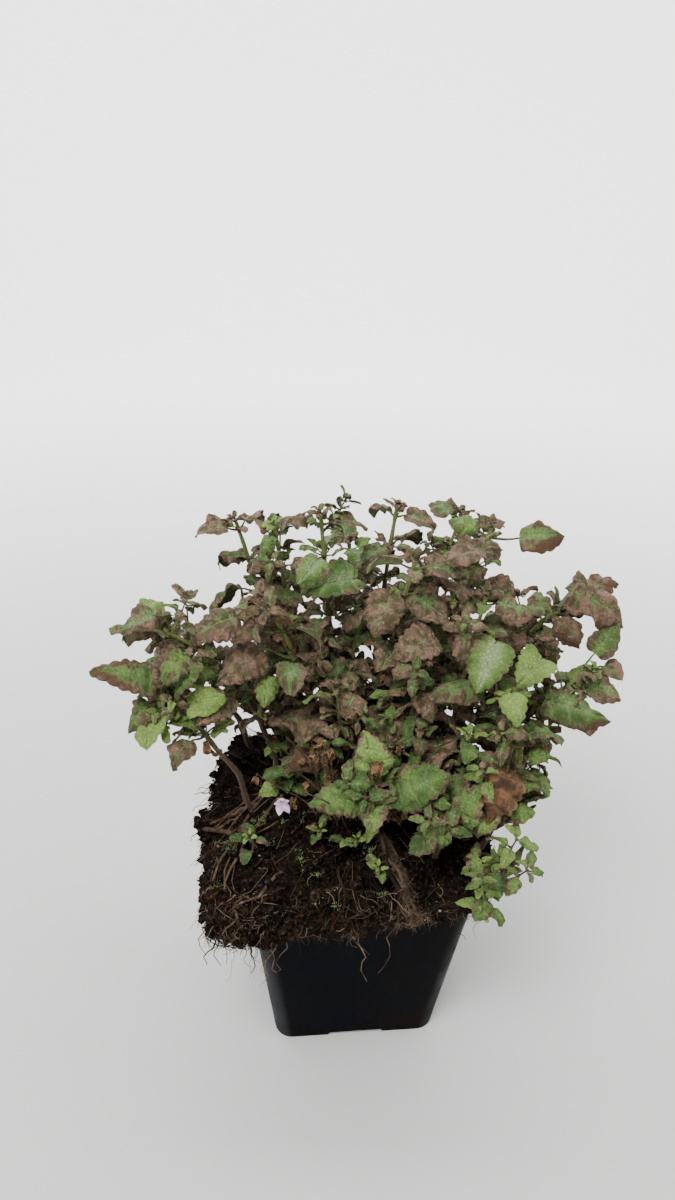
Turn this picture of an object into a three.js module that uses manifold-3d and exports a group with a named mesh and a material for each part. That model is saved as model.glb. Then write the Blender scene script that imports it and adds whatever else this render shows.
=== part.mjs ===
// A potted spotted dead nettle: a square nursery pot, the root ball that mounds over its rim, and the
// leafy stems that stand in it. Millimetres, +Z up, the origin on the ground under the pot's middle,
// +X to the right and -Y towards the viewer.
import * as THREE from "three";
import Module from "manifold-3d";

const wasm = await Module();
wasm.setup();

// Driving dimensions.
const UP = new THREE.Vector3(0, 0, 1);
const GAP = 0.35;

const POT = {
  height: 90, footHalf: 32.5, mouthHalf: 43.2, wall: 1.2, footCorner: 7, mouthCorner: 8,
  lip: 1.3, lipHeight: 9, lipSlope: 0.8, floorUnder: 2.6, floorTop: 4, padHalf: 8,
  notchHalf: 11, notchHeight: 1.8, holeRadius: 3.2, holeOffset: 20,
};

const SOIL = {
  centre: [-3, -1.5], halfWidth: 51.5, halfDepth: 46.5, squareness: 4, sideParts: 4, cover: 1.6,
  // Rings from the crown out over the rim and back under: share of the footprint, height.
  rings: [[0.3, 100.4], [0.55, 99], [0.76, 97.6], [0.9, 95.4], [1, 91], [1, 86.6], [0.95, 83]],
  crown: 101, lump: 2, ragged: 1.1, frontSag: 0.6, frontWay: -1.8, edgeTop: 82.5,
  // Share of the lumps' height that the middle of the top and the skirt keep.
  topCalm: 0.4, skirtCalm: 0.3,
  // Where rings start to cover the lip, how far an upper ring is drawn in from it, and how its cover
  // follows the lip's rounded corners.
  coverFrom: 0.88, drawnIn: 1.5, lipSquareness: 9, cornerEase: 0.32, cornerReach: 1.34, sideReach: 1.02,
  // The tuft of roots that hangs at the front left corner.
  tuft: { angle: -2.45, spread: 0.36, sag: 2.8, out: 4 },
};
// Waves of the peat's lumps: how many go round, how far each ring turns them, their start and height.
const LUMPS = [[3, 1.3, 0, 1], [7, -2.1, 1, 0.8], [13, 3.7, 2, 0.6]];
const [FIRST_OUTER_RING, FIRST_SKIRT_RING, LAST_RING] = [4, 5, 6];

// Where the skirt's inner face starts under the lip, turns and follows it, and its clearance to the pot.
const SEAT = { start: 2.2, turn: 1.4, under: 0.6, clear: GAP + 0.1 };

const FRINGE = {
  count: 9, radius: 1, thinning: 0.3, length: [9, 20], steps: 2, rootHeight: 84, sunk: 1.1, reach: 0.97,
  unevenly: 0.7, shortest: 0.35, sway: 1.5, turns: 5, stray: 2.5,
};
// Roots half sunk in the top: their start as a share of the reach, and how they wander from step to step.
const SURFACE_ROOTS = {
  count: 3, radius: 0.9, steps: 5, reach: [52, 46], height: 101.2, fall: 5.2, rise: 1.1, waves: 2.2,
  start: [0.25, 0.55], end: 0.8, wander: 1.2, outward: 0.18, round: 0.225,
};

const STEM = { footRadius: 1.6, tipRadius: 0.85, plain: 2, nodeHeight: 1.6, minors: true, least: 5.5 };
const SHOOT = { footRadius: 1, tipRadius: 0.7, plain: 2, nodeHeight: 1.4, minors: false, least: 4.5 };
const TWIG = { footRadius: 1.3, tipRadius: 0.7, plain: 4 };

// Half of a blade's edge from the stalk round to the tip, for three, two and one teeth a side: share of
// the length, share of the width.
const EDGES = [
  [[-0.05, 0.3], [0.34, 0.5]],
  [[-0.06, 0.25], [0.17, 0.5], [0.3, 0.42], [0.48, 0.42], [0.63, 0.24]],
  [[-0.07, 0.25], [0.12, 0.49], [0.24, 0.43], [0.37, 0.47], [0.49, 0.36], [0.63, 0.32], [0.75, 0.16]],
];
const MIDRIBS = [[0.4], [0.2, 0.58], [0.2, 0.58]];
const LEAF = {
  thick: 0.9, ratio: 0.72, stalkHalf: 0.55, fold: 0.28, droop: 0.7, wave: 0.035, outward: 0.008,
  minor: 0.5, finest: 22, plainest: 18.8, shrink: 0.03, tries: 18, probe: 0.42,
  // Least length of a stalk, and how squarely it leaves its face.
  leastStalk: 1.5, squarely: 0.3,
  // Waves of the edge: how far along they turn, in radians, and how the two sides differ.
  turns: 9, otherSide: 2,
  // Which way the face of a leaf that stands out looks, and the seeds of both kinds of leaf.
  facing: [0, -0.55, 1], ownSeed: [9000, 100], ruleSeed: [1000, 10],
};
// Span of the random starts of waves, in radians.
const PHASES = 6;
// How leaves of the rule differ from each other: ranges of shares, and spreads of angles in radians.
const VARIETY = {
  length: [0.85, 1.12], droop: [0.4, 1.8], fold: [0.5, 1.5], yaw: 0.5, lift: 0.8, roll: 1.1,
  minorLift: 0.5, topLift: 0.3, stalk: [0.45, 0.25], minorStalk: 0.3, stalkMore: 0.8,
  // A stalk's way: shares of its face's outward way, the stem's way and straight up.
  stalkWay: [0.5, 0.35, 0.2],
};
// How far a leaf may turn aside to clear its neighbours, in radians, and shift its base. The first try
// has the least share of it, and each one more, until the last step gives it all.
const ASIDE = { turn: 1.8, lift: 1.4, ownTurn: 1.2, ownLift: 0.8, ownShift: 0.4, least: 0.3, steps: 6 };

// The leafy stems. Path: foot in the soil, two bends, tip. From: where along the stem the first pair of
// leaves stands. Lift: how far leaves point up, radians. Own: leaves that stand out, each with its place
// along the stem, the blade's base and tip, its width and its droop.
const LEAFY_STEMS = [
  { path: [[-37, -5, 84], [-41, -8, 112], [-55, 0, 134], [-74, 2, 147]],
    pairs: 4, from: 0.66, leaf: [15.6, 13.6], lift: 0.1, own: [
      [1, [-73, 1, 153], [-95, -2, 162], 15, 0.3], [0.98, [-76, -1, 145], [-84, -4, 134], 11, 1.3],
      [0.62, [-59, -5, 137], [-66, -6, 140], 5.5, 0.2], [0.62, [-53, -1, 134], [-46, -3, 138], 5, 0.3],
      [0.8, [-63, -2, 144], [-49, -5, 151], 12, 0.4], [0.97, [-70, 0, 151], [-75, -2, 162], 9, 0.3],
      [0.9, [-66, -1, 152], [-56, -4, 163], 10, 0.4]] },
  { path: [[-27, 14, 84], [-31, 14, 128], [-48, 10, 156], [-70, 5, 172]],
    pairs: 5, from: 0.4, leaf: [19.4, 14.7], lift: 0.05, own: [
      [1, [-73, 4, 178], [-87, 0, 174], 11, 0.5], [0.72, [-44, 6, 176], [-62, 0, 171], 14, 0.5]] },
  { path: [[-8, 4, 84], [-12, 9, 124], [-17, 5, 152], [-35, 0, 186]],
    pairs: 5, from: 0.5, leaf: [18.5, 11.3], lift: 0.05, own: [
      [0.72, [-36, 5, 163], [-52, -4, 154], 15, 0.5], [0.55, [-34, 2, 153], [-35, -7, 146], 9, 0.3]] },
  { path: [[6, 14, 84], [0, 13, 126], [-14, 14, 148], [-34, 17, 176]],
    pairs: 5, from: 0.45, leaf: [18.5, 14.7], lift: 0, own: [
      [0.5, [-4, -1, 150], [-12, -9, 142], 11, 0.5]] },
  { path: [[-22, 30, 84], [-26, 36, 130], [-34, 40, 165], [-44, 44, 196]], pairs: 6, from: 0.34,
    leaf: [21.4, 13.6], lift: 0, own: [] },
  { path: [[-33, 27, 84], [-46, 36, 118], [-62, 44, 138], [-80, 48, 150]], pairs: 5, from: 0.4,
    leaf: [20.4, 15.8], lift: 0.05, own: [] },
  { path: [[-4, 26, 84], [-6, 26, 130], [-10, 22, 170], [-14, 18, 209]],
    pairs: 7, from: 0.32, leaf: [21.4, 13.6], lift: 0, own: [
      [0.78, [-1, 14, 186], [-22, 6, 185], 15, 0.5]] },
  { path: [[12, 18, 84], [12, 16, 130], [12, 10, 165], [18, 4, 197]],
    pairs: 6, from: 0.4, leaf: [21.4, 14.7], lift: -0.05, own: [
      [0.86, [18, 6, 183], [33, -1, 174], 14.5, 0.5], [0.8, [10, 2, 186], [3, -7, 173], 13.5, 0.6]] },
  { path: [[15, -3, 84], [18, -5, 112], [18, -7, 135], [20, -5, 166]],
    pairs: 5, from: 0.4, leaf: [17.5, 13.6], lift: 0, own: [
      [0.96, [25, -5, 172], [9, -11, 168], 13.5, 0.4]] },
  { path: [[5, -24, 84], [4, -26, 106], [3, -30, 118], [3, -32, 128]],
    pairs: 2, from: 0.86, leaf: [10.2, 7.9], lift: 0.6, own: [
      [0.97, [2, -31, 132], [-1, -26, 148], 13.5, 0.3], [0.95, [9, -33, 126], [27, -36, 136], 16, 0.4],
      [0.93, [-2, -33, 126], [-21, -37, 128], 14, 0.4], [0.9, [2, -37, 125], [-1, -47, 121], 8.5, 0.5]] },
  { path: [[30, -4, 84], [34, -4, 120], [38, 2, 150], [44, 2, 184]],
    pairs: 6, from: 0.42, leaf: [19.4, 15.8], lift: -0.05, own: [
      [0.78, [46, -9, 172], [37, -23, 160], 16, 0.5], [0.6, [41, -12, 155], [22, -21, 160], 11, 0.4]] },
  { path: [[24, 12, 84], [28, 14, 130], [36, 14, 170], [46, 12, 206]],
    pairs: 7, from: 0.34, leaf: [21.4, 14.7], lift: 0, own: [
      [0.9, [41, 10, 200], [27, 4, 196], 12.5, 0.4],
      [0.96, [56, 10, 203], [71, 6, 206], 12.5, 0.5]] },
  { path: [[34, 16, 84], [44, 18, 124], [58, 14, 160], [82, 8, 182]],
    pairs: 6, from: 0.4, leaf: [21.4, 15.8], lift: 0, own: [
      [0.92, [76, 6, 184], [99, 0, 172], 15, 0.5]] },
  { path: [[31, -36, 84], [42, -42, 112], [62, -32, 138], [49, -22, 156]], pairs: 4, from: 0.44,
    leaf: [15.8, 12.4], lift: 0.1, own: [
      [0.7, [55, -30, 138], [62, -32, 142], 7, 0.3], [0.55, [53, -34, 129], [60, -36, 133], 7.5, 0.3],
      [0.42, [50, -38, 119], [58, -40, 121], 8, 0.4], [0.72, [47, -36, 137], [39, -45, 118], 15, 0.9],
      [0.9, [48, -27, 162], [49, -37, 156], 9, 0.5]] },
  { path: [[37, 0, 84], [50, 0, 118], [64, -4, 142], [84, -6, 156]],
    pairs: 5, from: 0.45, leaf: [17.5, 14.7], lift: 0.1, own: [
      [0.95, [85, -4, 163], [94, 0, 173], 11, 0.3], [1, [88, -6, 159], [98, -9, 157], 8.5, 0.5],
      [0.93, [82, -9, 153], [95, -14, 148], 11.5, 0.5], [0.7, [66, -12, 149], [89, -20, 144], 14, 0.4],
      [0.72, [64, -8, 164], [52, -20, 161], 13.5, 0.5]] },
  { path: [[18, 31, 84], [24, 38, 130], [34, 44, 165], [44, 48, 196]],
    pairs: 6, from: 0.34, leaf: [21.4, 13.6], lift: 0, own: [] },
  { path: [[37, 30, 84], [52, 38, 116], [66, 44, 138], [84, 46, 150]],
    pairs: 5, from: 0.4, leaf: [20.4, 15.8], lift: 0.05, own: [] },
  { path: [[1, 37, 84], [0, 50, 120], [0, 58, 150], [2, 62, 178]],
    pairs: 5, from: 0.36, leaf: [20.4, 14.7], lift: 0, own: [] },
  { path: [[24, -32, 84], [26, -34, 100], [27, -38, 110], [28, -40, 118]],
    pairs: 1, from: 0.95, leaf: [9, 9], lift: 0.5, own: [
      [0.95, [31, -41, 120], [37, -39, 133], 11, 0.3], [0.9, [27, -43, 117], [17, -47, 121], 9, 0.4],
      [0.75, [22, -42, 113], [13, -49, 117], 9, 0.4]] },
  { path: [[35, -27, 84], [46, -37, 106], [47, -49, 105], [38, -56, 94]],
    pairs: 2, from: 0.6, leaf: [7.9, 7.9], lift: -0.2, own: [
      [0.62, [42, -51, 105], [43, -58, 98], 7, 0.5], [0.85, [39, -57, 98], [34, -61, 92], 7.5, 0.6],
      [0.45, [46, -44, 105], [52, -45, 100], 6, 0.6]] },
  { path: [[27, -13, 84], [30, -18, 108], [33, -20, 124], [37, -21, 140]],
    pairs: 5, from: 0.42, leaf: [14, 10.5], lift: 0.1, own: [] },
  { path: [[16, -12, 84], [17, -14, 106], [18, -15, 122], [20, -14, 138]],
    pairs: 4, from: 0.5, leaf: [14, 10.5], lift: 0.1, own: [] },
  { path: [[35.5, -10.5, 84], [44, -14, 104], [54, -20, 118], [60, -22, 133]],
    pairs: 4, from: 0.5, leaf: [13, 10.5], lift: 0.1, own: [] },
  { path: [[-8, -3, 84], [-7, -4, 110], [-6, -5, 132], [-9, -6, 152]],
    pairs: 5, from: 0.5, leaf: [15, 11.5], lift: 0, own: [] },
  { path: [[8, 31, 84], [10, 34, 130], [12, 36, 170], [16, 36, 204]],
    pairs: 5, from: 0.5, leaf: [16.5, 12], lift: 0, own: [] },
  { path: [[-18, 18, 84], [-20, 24, 130], [-24, 27, 166], [-30, 29, 200]],
    pairs: 5, from: 0.5, leaf: [16.5, 12], lift: 0, own: [] },
];

// Young shoots low on the soil: foot, height, lean, leaf length, pairs.
const SHOOTS = [
  { foot: [-25, 3, 87], tip: [-26, 0, 109], leaf: 10, pairs: 3 },
  { foot: [-4, -26, 88], tip: [-3, -31, 103], leaf: 8, pairs: 2 },
  { foot: [3, -38, 88], tip: [3, -44, 102], leaf: 7, pairs: 2 },
  { foot: [-37, -24, 88], tip: [-41, -27, 103], leaf: 6.8, pairs: 2 },
  { foot: [-15, -21, 88], tip: [-16, -25, 103], leaf: 7, pairs: 2 },
];

// Bare twigs of older growth: foot, middle and tip.
const TWIGS = [
  [[38, -17, 86], [50, -28, 104], [60, -34, 119]],
  [[-3, -9, 86], [-4, -10, 112], [-9, -12, 136]],
  [[10, -13, 86], [13, -14, 112], [11, -20, 139]],
  [[22, -19, 86], [27, -19, 110], [31, -25, 133]],
  [[-17, 12, 86], [-24, 14, 112], [-25, 20, 140]],
  [[-38, -15, 87], [-44, -17, 98], [-58, -22, 104]],
];

// The flower: a stalk, then a hood that leaves it the way given and bends over a hanging lip.
const FLOWER = {
  foot: [-30, -6, 87], tip: [-30, -9, 104], stalk: [0.9, 0.8, 1.6], way: [0.2, -0.8, 0.55], reach: 3.85,
  brow: [0.4, -2.2, -0.6], hood: [1.4, 2, 0.7], lipStart: 2, lipFall: [0.3, -1.6, -2.6], lip: [1.1, 0.8],
  hole: [1.6, 2.2],
};

const COLOURS = {
  pot: 0x15171b, soil: 0x2b1c14, leaf: [0x5f8a4b, 0x6d8f57, 0x7c7350, 0x86696a], twig: 0x4a3528,
  flower: 0xb48ac4,
};

const vec = (p) => new THREE.Vector3(p[0], p[1], p[2]);
const mix = (a, b, t) => a + (b - a) * t;

// Seeded draws between 0 and 1.
function draws(seed) {
  let state = (Math.imul(seed, 747796405) + 2891336453) >>> 0;
  const next = () => {
    state = (Math.imul(state, 1664525) + 1013904223) >>> 0;
    return state / 4294967296;
  };
  for (let i = 0; i < 4; i += 1) next();
  return next;
}

// A solid from points and triangles.
function solid(points, triangles) {
  const vertProperties = new Float32Array(points.flatMap((p) => [p.x, p.y, p.z]));
  const mesh = new wasm.Mesh({ numProp: 3, vertProperties, triVerts: new Uint32Array(triangles.flat()) });
  mesh.merge();
  return new wasm.Manifold(mesh);
}

function geometryOf(body) {
  const mesh = body.getMesh();
  const geometry = new THREE.BufferGeometry();
  geometry.setAttribute("position", new THREE.BufferAttribute(mesh.vertProperties.slice(), 3));
  geometry.setIndex(Array.from(mesh.triVerts));
  geometry.computeVertexNormals();
  return geometry;
}

// Rings of points joined into a closed body. A ring is listed anticlockwise as seen from the last ring.
function skin(rings, first, last) {
  const count = rings[0].length;
  const points = [...rings.flat(), first, last];
  const triangles = [];
  const ends = [count * rings.length, count * rings.length + 1];
  for (let i = 0; i < count; i += 1) {
    const j = (i + 1) % count;
    for (let k = 0; k + 1 < rings.length; k += 1) {
      const [a, b, c, d] = [k * count + i, k * count + j, (k + 1) * count + j, (k + 1) * count + i];
      triangles.push([a, b, c], [a, c, d]);
    }
    const top = (rings.length - 1) * count;
    triangles.push([ends[0], j, i], [ends[1], top + i, top + j]);
  }
  return solid(points, triangles);
}

// The way that a line of points runs at one of them.
function wayAt(path, k) {
  const [ahead, behind] = [path[Math.min(k + 1, path.length - 1)], path[Math.max(k - 1, 0)]];
  return ahead.clone().sub(behind).normalize();
}

// A tapering tube along points, with the given number of sides.
function tube(path, radii, sides, turn = 0) {
  const rings = [];
  let side = null;
  path.forEach((p, k) => {
    const along = wayAt(path, k);
    if (!side) {
      side = new THREE.Vector3(1, 0, 0).addScaledVector(along, -along.x);
      if (side.lengthSq() < 0.01) side.set(0, 1, 0).addScaledVector(along, -along.y);
    } else {
      side.addScaledVector(along, -along.dot(side));
    }
    side.normalize();
    const other = along.clone().cross(side);
    const ring = [];
    for (let i = 0; i < sides; i += 1) {
      const angle = turn + (2 * Math.PI * i) / sides;
      ring.push(p.clone().addScaledVector(side, radii[k] * Math.cos(angle))
        .addScaledVector(other, radii[k] * Math.sin(angle)));
    }
    rings.push(ring);
  });
  return skin(rings, path[0].clone(), path[path.length - 1].clone());
}

// The pot: a rounded square that widens upwards.
function roundedSquare(half, corner, z) {
  const shape = new THREE.Shape();
  const inner = half - corner;
  [[1, 1], [-1, 1], [-1, -1], [1, -1]].forEach(([x, y], i) => {
    shape.absarc(x * inner, y * inner, corner, (i * Math.PI) / 2, ((i + 1) * Math.PI) / 2, false);
  });
  const ring = [];
  shape.getPoints(3).forEach((p) => {
    const point = new THREE.Vector3(p.x, p.y, z);
    if (ring.every((q) => q.distanceTo(point) > 0.01)) ring.push(point);
  });
  return ring;
}

const wallHalf = (z) => mix(POT.footHalf, POT.mouthHalf, z / POT.height);
const wallCorner = (z) => mix(POT.footCorner, POT.mouthCorner, z / POT.height);

// A solid between heights whose sides follow the pot's wall, moved outwards by an offset at each height.
function potLoft(levels) {
  const rings = levels.map(([z, out]) => roundedSquare(wallHalf(z) + out, wallCorner(z) + out * 0.6, z));
  const end = (z) => new THREE.Vector3(0, 0, z);
  return skin(rings, end(levels[0][0]), end(levels[levels.length - 1][0]));
}

function block(halfX, halfY, bottom, top, x = 0, y = 0) {
  const geometry = new THREE.BoxGeometry(2 * halfX, 2 * halfY, top - bottom);
  geometry.translate(x, y, (top + bottom) / 2);
  return fromGeometry(geometry);
}

function fromGeometry(geometry) {
  const at = geometry.getAttribute("position");
  const points = [];
  for (let i = 0; i < at.count; i += 1) points.push(new THREE.Vector3().fromBufferAttribute(at, i));
  const triangles = [];
  for (let i = 0; i < geometry.index.count; i += 3) {
    triangles.push([geometry.index.getX(i), geometry.index.getX(i + 1), geometry.index.getX(i + 2)]);
  }
  return solid(points, triangles);
}

function drainHole(x, y) {
  const geometry = new THREE.CylinderGeometry(POT.holeRadius, POT.holeRadius, 8, 7);
  geometry.rotateX(Math.PI / 2);
  geometry.translate(x, y, POT.floorUnder);
  return fromGeometry(geometry);
}

function potBody() {
  const top = POT.height;
  const underLip = top - POT.lipHeight;
  const outside = [
    [0, 0], [underLip - POT.lipSlope, 0], [underLip, POT.lip], [top - POT.lipSlope, POT.lip],
    [top, POT.lip - 0.5 * POT.lipSlope],
  ];
  let body = potLoft(outside);
  body = body.subtract(potLoft([[POT.floorTop, -POT.wall], [top + 1, -POT.wall]]));
  body = body.subtract(potLoft([[-1, -POT.wall], [POT.floorUnder, -POT.wall]]));
  body = body.add(block(POT.padHalf, POT.padHalf, 0, POT.floorUnder + 0.5));
  for (const turned of [false, true]) {
    const [x, y] = turned ? [60, POT.notchHalf] : [POT.notchHalf, 60];
    const keptPad = block(POT.padHalf + 1, POT.padHalf + 1, -2, 2 * POT.floorTop);
    body = body.subtract(block(x, y, -1, POT.notchHeight).subtract(keptPad));
  }
  for (let i = 0; i < 9; i += 1) {
    const [x, y] = [(i % 3) - 1, Math.floor(i / 3) - 1];
    if (x || y) body = body.subtract(drainHole(x * POT.holeOffset, y * POT.holeOffset));
  }
  return body;
}

// The way round every ring of the root ball: the pot's outline with its long sides divided.
function aroundPot(z, out) {
  const ring = roundedSquare(wallHalf(z) + out, wallCorner(z) + out * 0.6, z);
  return ring.flatMap((point, i) => {
    const next = ring[(i + 1) % ring.length];
    const parts = point.distanceTo(next) > 2 * POT.mouthCorner ? SOIL.sideParts : 1;
    return Array.from({ length: parts }, (_, k) => point.clone().lerp(next, k / parts));
  });
}

// Smooth lumps of the peat at a direction and a ring.
function lump(angle, ring) {
  return LUMPS.reduce((sum, [round, twist, start, height]) => (
    sum + height * Math.sin(round * angle + twist * ring + start)), 0);
}

// 1 at the front left, where the skirt hangs lowest, and 0 at the back right.
const frontness = (angle) => 0.5 + 0.5 * Math.cos(angle - SOIL.frontWay);

// A point of the mound: a direction, a share of the footprint and a height. Over the rim it covers the
// lip.
function soilPoint(angle, share, z, ring) {
  const [c, s] = [Math.cos(angle), Math.sin(angle)];
  const [x, y] = SOIL.centre;
  const p = SOIL.squareness;
  const reach = (Math.abs(c / SOIL.halfWidth) ** p + Math.abs(s / SOIL.halfDepth) ** p) ** (-1 / p);
  const edge = share ** 3;
  const corner = SOIL.cornerReach - SOIL.cornerEase * Math.max(Math.abs(c), Math.abs(s));
  const lipReach = (Math.abs(c) ** SOIL.lipSquareness + Math.abs(s) ** SOIL.lipSquareness)
    ** (-1 / SOIL.lipSquareness) * (POT.mouthHalf + POT.lip) * Math.min(SOIL.sideReach, corner);
  const least = share < SOIL.coverFrom ? 0 : lipReach + SOIL.cover + Math.abs(x * c + y * s);
  const bulge = SOIL.lump * edge * lump(angle, ring);
  const drawnIn = share < SOIL.coverFrom + 0.07 ? SOIL.drawnIn : 0;
  const tuft = ring >= FIRST_OUTER_RING
    ? Math.exp(-(((angle - SOIL.tuft.angle) / SOIL.tuft.spread) ** 2)) : 0;
  const r = Math.max(share * reach + bulge, least - drawnIn + Math.max(bulge, 0)) + SOIL.tuft.out * tuft;
  const outer = ring >= FIRST_SKIRT_RING ? SOIL.skirtCalm : 1;
  const calm = share > SOIL.rings[0][0] ? outer : SOIL.topCalm;
  const rise = SOIL.lump * (0.5 + 0.6 * edge) * lump(angle + 0.4, ring + 1.5) * calm;
  const ragged = SOIL.ragged * (Math.sin(19 * angle + 2 * ring) + Math.sin(31 * angle + ring));
  const sag = ring >= FIRST_SKIRT_RING
    ? frontness(angle) * SOIL.frontSag + ragged + SOIL.tuft.sag * tuft : 0;
  const height = ring === LAST_RING ? Math.min(z + rise - sag, SOIL.edgeTop) : z + rise - sag;
  return new THREE.Vector3(x + r * c, y + r * s, height);
}

// The root ball: the mound, its skirt down outside the pot, and the plug that fills the pot.
function rootBall() {
  const lipUnder = POT.height - POT.lipHeight;
  const [overRim, outside, inside] = [POT.height + SEAT.clear, POT.lip + SEAT.clear, -POT.wall - GAP];
  const wallRings = [
    [lipUnder - SEAT.start, SEAT.clear], [lipUnder - SEAT.turn, SEAT.clear],
    [lipUnder - SEAT.under, outside], [overRim, outside], [overRim, inside],
    [POT.floorTop + GAP, inside],
  ].map(([z, out]) => aroundPot(z, out).map((point) => point.setZ(z)));
  const angles = wallRings[3].map((point) => Math.atan2(point.y, point.x));
  const mound = SOIL.rings.map(([share, z], k) => angles.map((angle) => soilPoint(angle, share, z, k)));
  const rings = [...mound, ...wallRings].reverse();
  const [x, y] = SOIL.centre;
  return skin(rings, new THREE.Vector3(0, 0, POT.floorTop + GAP), new THREE.Vector3(x, y, SOIL.crown));
}

// Strands of root that hang from the cap's edge.
function fringe() {
  const random = draws(71);
  const strands = [];
  const { count, radius, thinning, steps, sunk, unevenly, shortest, sway, turns, stray } = FRINGE;
  for (let i = 0; i < count; i += 1) {
    const angle = (2 * Math.PI * (i + unevenly * random())) / count;
    const share = random() * mix(shortest, 1, frontness(angle));
    const length = mix(FRINGE.length[0], FRINGE.length[1], share);
    const out = new THREE.Vector3(Math.cos(angle), Math.sin(angle), 0);
    const from = soilPoint(angle, FRINGE.reach, FRINGE.rootHeight, FIRST_SKIRT_RING);
    from.addScaledVector(out, -sunk);
    const path = [];
    for (let k = 0; k <= steps; k += 1) {
      const t = k / steps;
      path.push(from.clone().addScaledVector(out, sway * Math.sin(turns * t + PHASES * random()) * t)
        .add(new THREE.Vector3(stray * (random() - 0.5) * t, stray * (random() - 0.5) * t, -length * t)));
    }
    strands.push(tube(path, path.map((_, k) => radius * (1 - thinning * k)), 3));
  }
  return strands;
}

// Thicker roots that run half sunk over the top of the peat.
function surfaceRoots() {
  const random = draws(29);
  const roots = [];
  const { count, steps, reach, height, fall, rise, waves, wander, outward, round } = SURFACE_ROOTS;
  for (let i = 0; i < count; i += 1) {
    let heading = random() * 2 * Math.PI;
    let share = mix(...SURFACE_ROOTS.start, random());
    let angle = (2 * Math.PI * i) / count + random();
    const path = [];
    for (let k = 0; k < steps; k += 1) {
      path.push(new THREE.Vector3(SOIL.centre[0] + share * reach[0] * Math.cos(angle),
        SOIL.centre[1] + share * reach[1] * Math.sin(angle),
        height - fall * share * share + rise * Math.sin(waves * k + i)));
      heading += wander * (random() - 0.5);
      share = Math.min(SURFACE_ROOTS.end, share + outward * Math.abs(Math.cos(heading)));
      angle += round * Math.sin(heading);
    }
    roots.push(tube(path, path.map(() => SURFACE_ROOTS.radius), 3));
  }
  return roots;
}

// Stems.
function bezier(path, t) {
  const [a, b, c, d] = path;
  const s = 1 - t;
  const at = (i) => a[i] * s * s * s + 3 * b[i] * s * s * t + 3 * c[i] * s * t * t + d[i] * t * t * t;
  return new THREE.Vector3(at(0), at(1), at(2));
}

// A square stem as rings of four points. Each node of the stem is a short stretch between two rings, and
// a leaf's stalk grows out of one of its four faces.
function skeleton(stand) {
  const { path, size, pairs, from, spin } = stand;
  const stations = [];
  const plain = (t) => stations.push({ t });
  for (let k = 0; k < size.plain; k += 1) plain(((from - 0.03) * k) / size.plain);
  for (let k = 0; k < pairs; k += 1) {
    const t = pairs > 1 ? mix(from, 0.97, k / (pairs - 1)) : from;
    const speed = bezier(path, t + 0.01).distanceTo(bezier(path, t - 0.01)) / 0.02;
    const half = size.nodeHeight / 2 / speed;
    stations.push({ t: t - half, node: k }, { t: t + half });
  }
  plain(1);
  const points = stations.map(({ t }) => bezier(path, t));
  const nodes = [];
  const rings = [];
  let side = null;
  points.forEach((centre, k) => {
    const along = wayAt(points, k);
    side = side || new THREE.Vector3(Math.cos(spin), Math.sin(spin), 0);
    side.addScaledVector(along, -along.dot(side)).normalize();
    const other = along.clone().cross(side);
    const radius = mix(size.footRadius, size.tipRadius, stations[k].t);
    const ring = [0, 1, 2, 3].map((i) => {
      const angle = (Math.PI / 2) * i;
      return centre.clone().addScaledVector(side, radius * Math.cos(angle))
        .addScaledVector(other, radius * Math.sin(angle));
    });
    rings.push(ring);
    if (stations[k].node === undefined) return;
    nodes.push({ ring: k, along, share: pairs > 1 ? stations[k].node / (pairs - 1) : 1 });
  });
  for (const node of nodes) {
    const [low, high] = [rings[node.ring], rings[node.ring + 1]];
    node.faces = [0, 1, 2, 3].map((i) => {
      const corners = [low[i], low[(i + 1) % 4], high[(i + 1) % 4], high[i]];
      const middle = corners.reduce((sum, p) => sum.add(p), new THREE.Vector3()).multiplyScalar(0.25);
      const [across, up] = [corners[1].clone().sub(corners[0]), corners[3].clone().sub(corners[0])];
      return { corners, middle, out: across.cross(up).normalize() };
    });
  }
  return { rings, nodes };
}

// The points and triangles of a stem, without the faces that carry a stalk.
function stemSkin(bones, taken = new Set()) {
  const points = [...bones.rings.flat(), bones.rings[0][0].clone().lerp(bones.rings[0][2], 0.5)];
  const triangles = [];
  const last = 4 * (bones.rings.length - 1);
  for (let i = 0; i < 4; i += 1) {
    const j = (i + 1) % 4;
    for (let k = 0; k + 1 < bones.rings.length; k += 1) {
      if (taken.has(4 * k + i)) continue;
      const [a, b, c, d] = [4 * k + i, 4 * k + j, 4 * k + 4 + j, 4 * k + 4 + i];
      triangles.push([a, b, c], [a, c, d]);
    }
    triangles.push([points.length - 1, j, i]);
  }
  triangles.push([last, last + 1, last + 2], [last, last + 2, last + 3]);
  return { points, triangles };
}

// The plain hole in which a stem stands: the stem's own foot, wider by a gap, up to the open air.
function stemHole(bones) {
  const path = [];
  for (const ring of bones.rings) {
    path.push(ring[0].clone().lerp(ring[2], 0.5));
    if (path.length > 1 && path[path.length - 1].z > SOIL.crown + 4) break;
  }
  const radius = bones.rings[0][0].distanceTo(bones.rings[0][2]) / 2 + 1.6 * GAP;
  path[0].addScaledVector(path[1].clone().sub(path[0]).normalize(), -GAP);
  const turn = bones.rings[0][0].clone().sub(path[0]);
  return tube(path, path.map(() => radius), 4, Math.atan2(turn.y, turn.x));
}

// How a leaf sits: the face of the stem it grows from, its base, the way it points, its upper side,
// length, width, droop, fold along the midrib and the phase of its waves.
function heldLeaf(face, base, along, upper, length, width, droop, fold, phase) {
  const x = along.clone().normalize();
  const z = upper.clone().addScaledVector(x, -upper.dot(x)).normalize();
  return { face, base, x, y: z.clone().cross(x), z, length, width, droop, fold, phase };
}

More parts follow.
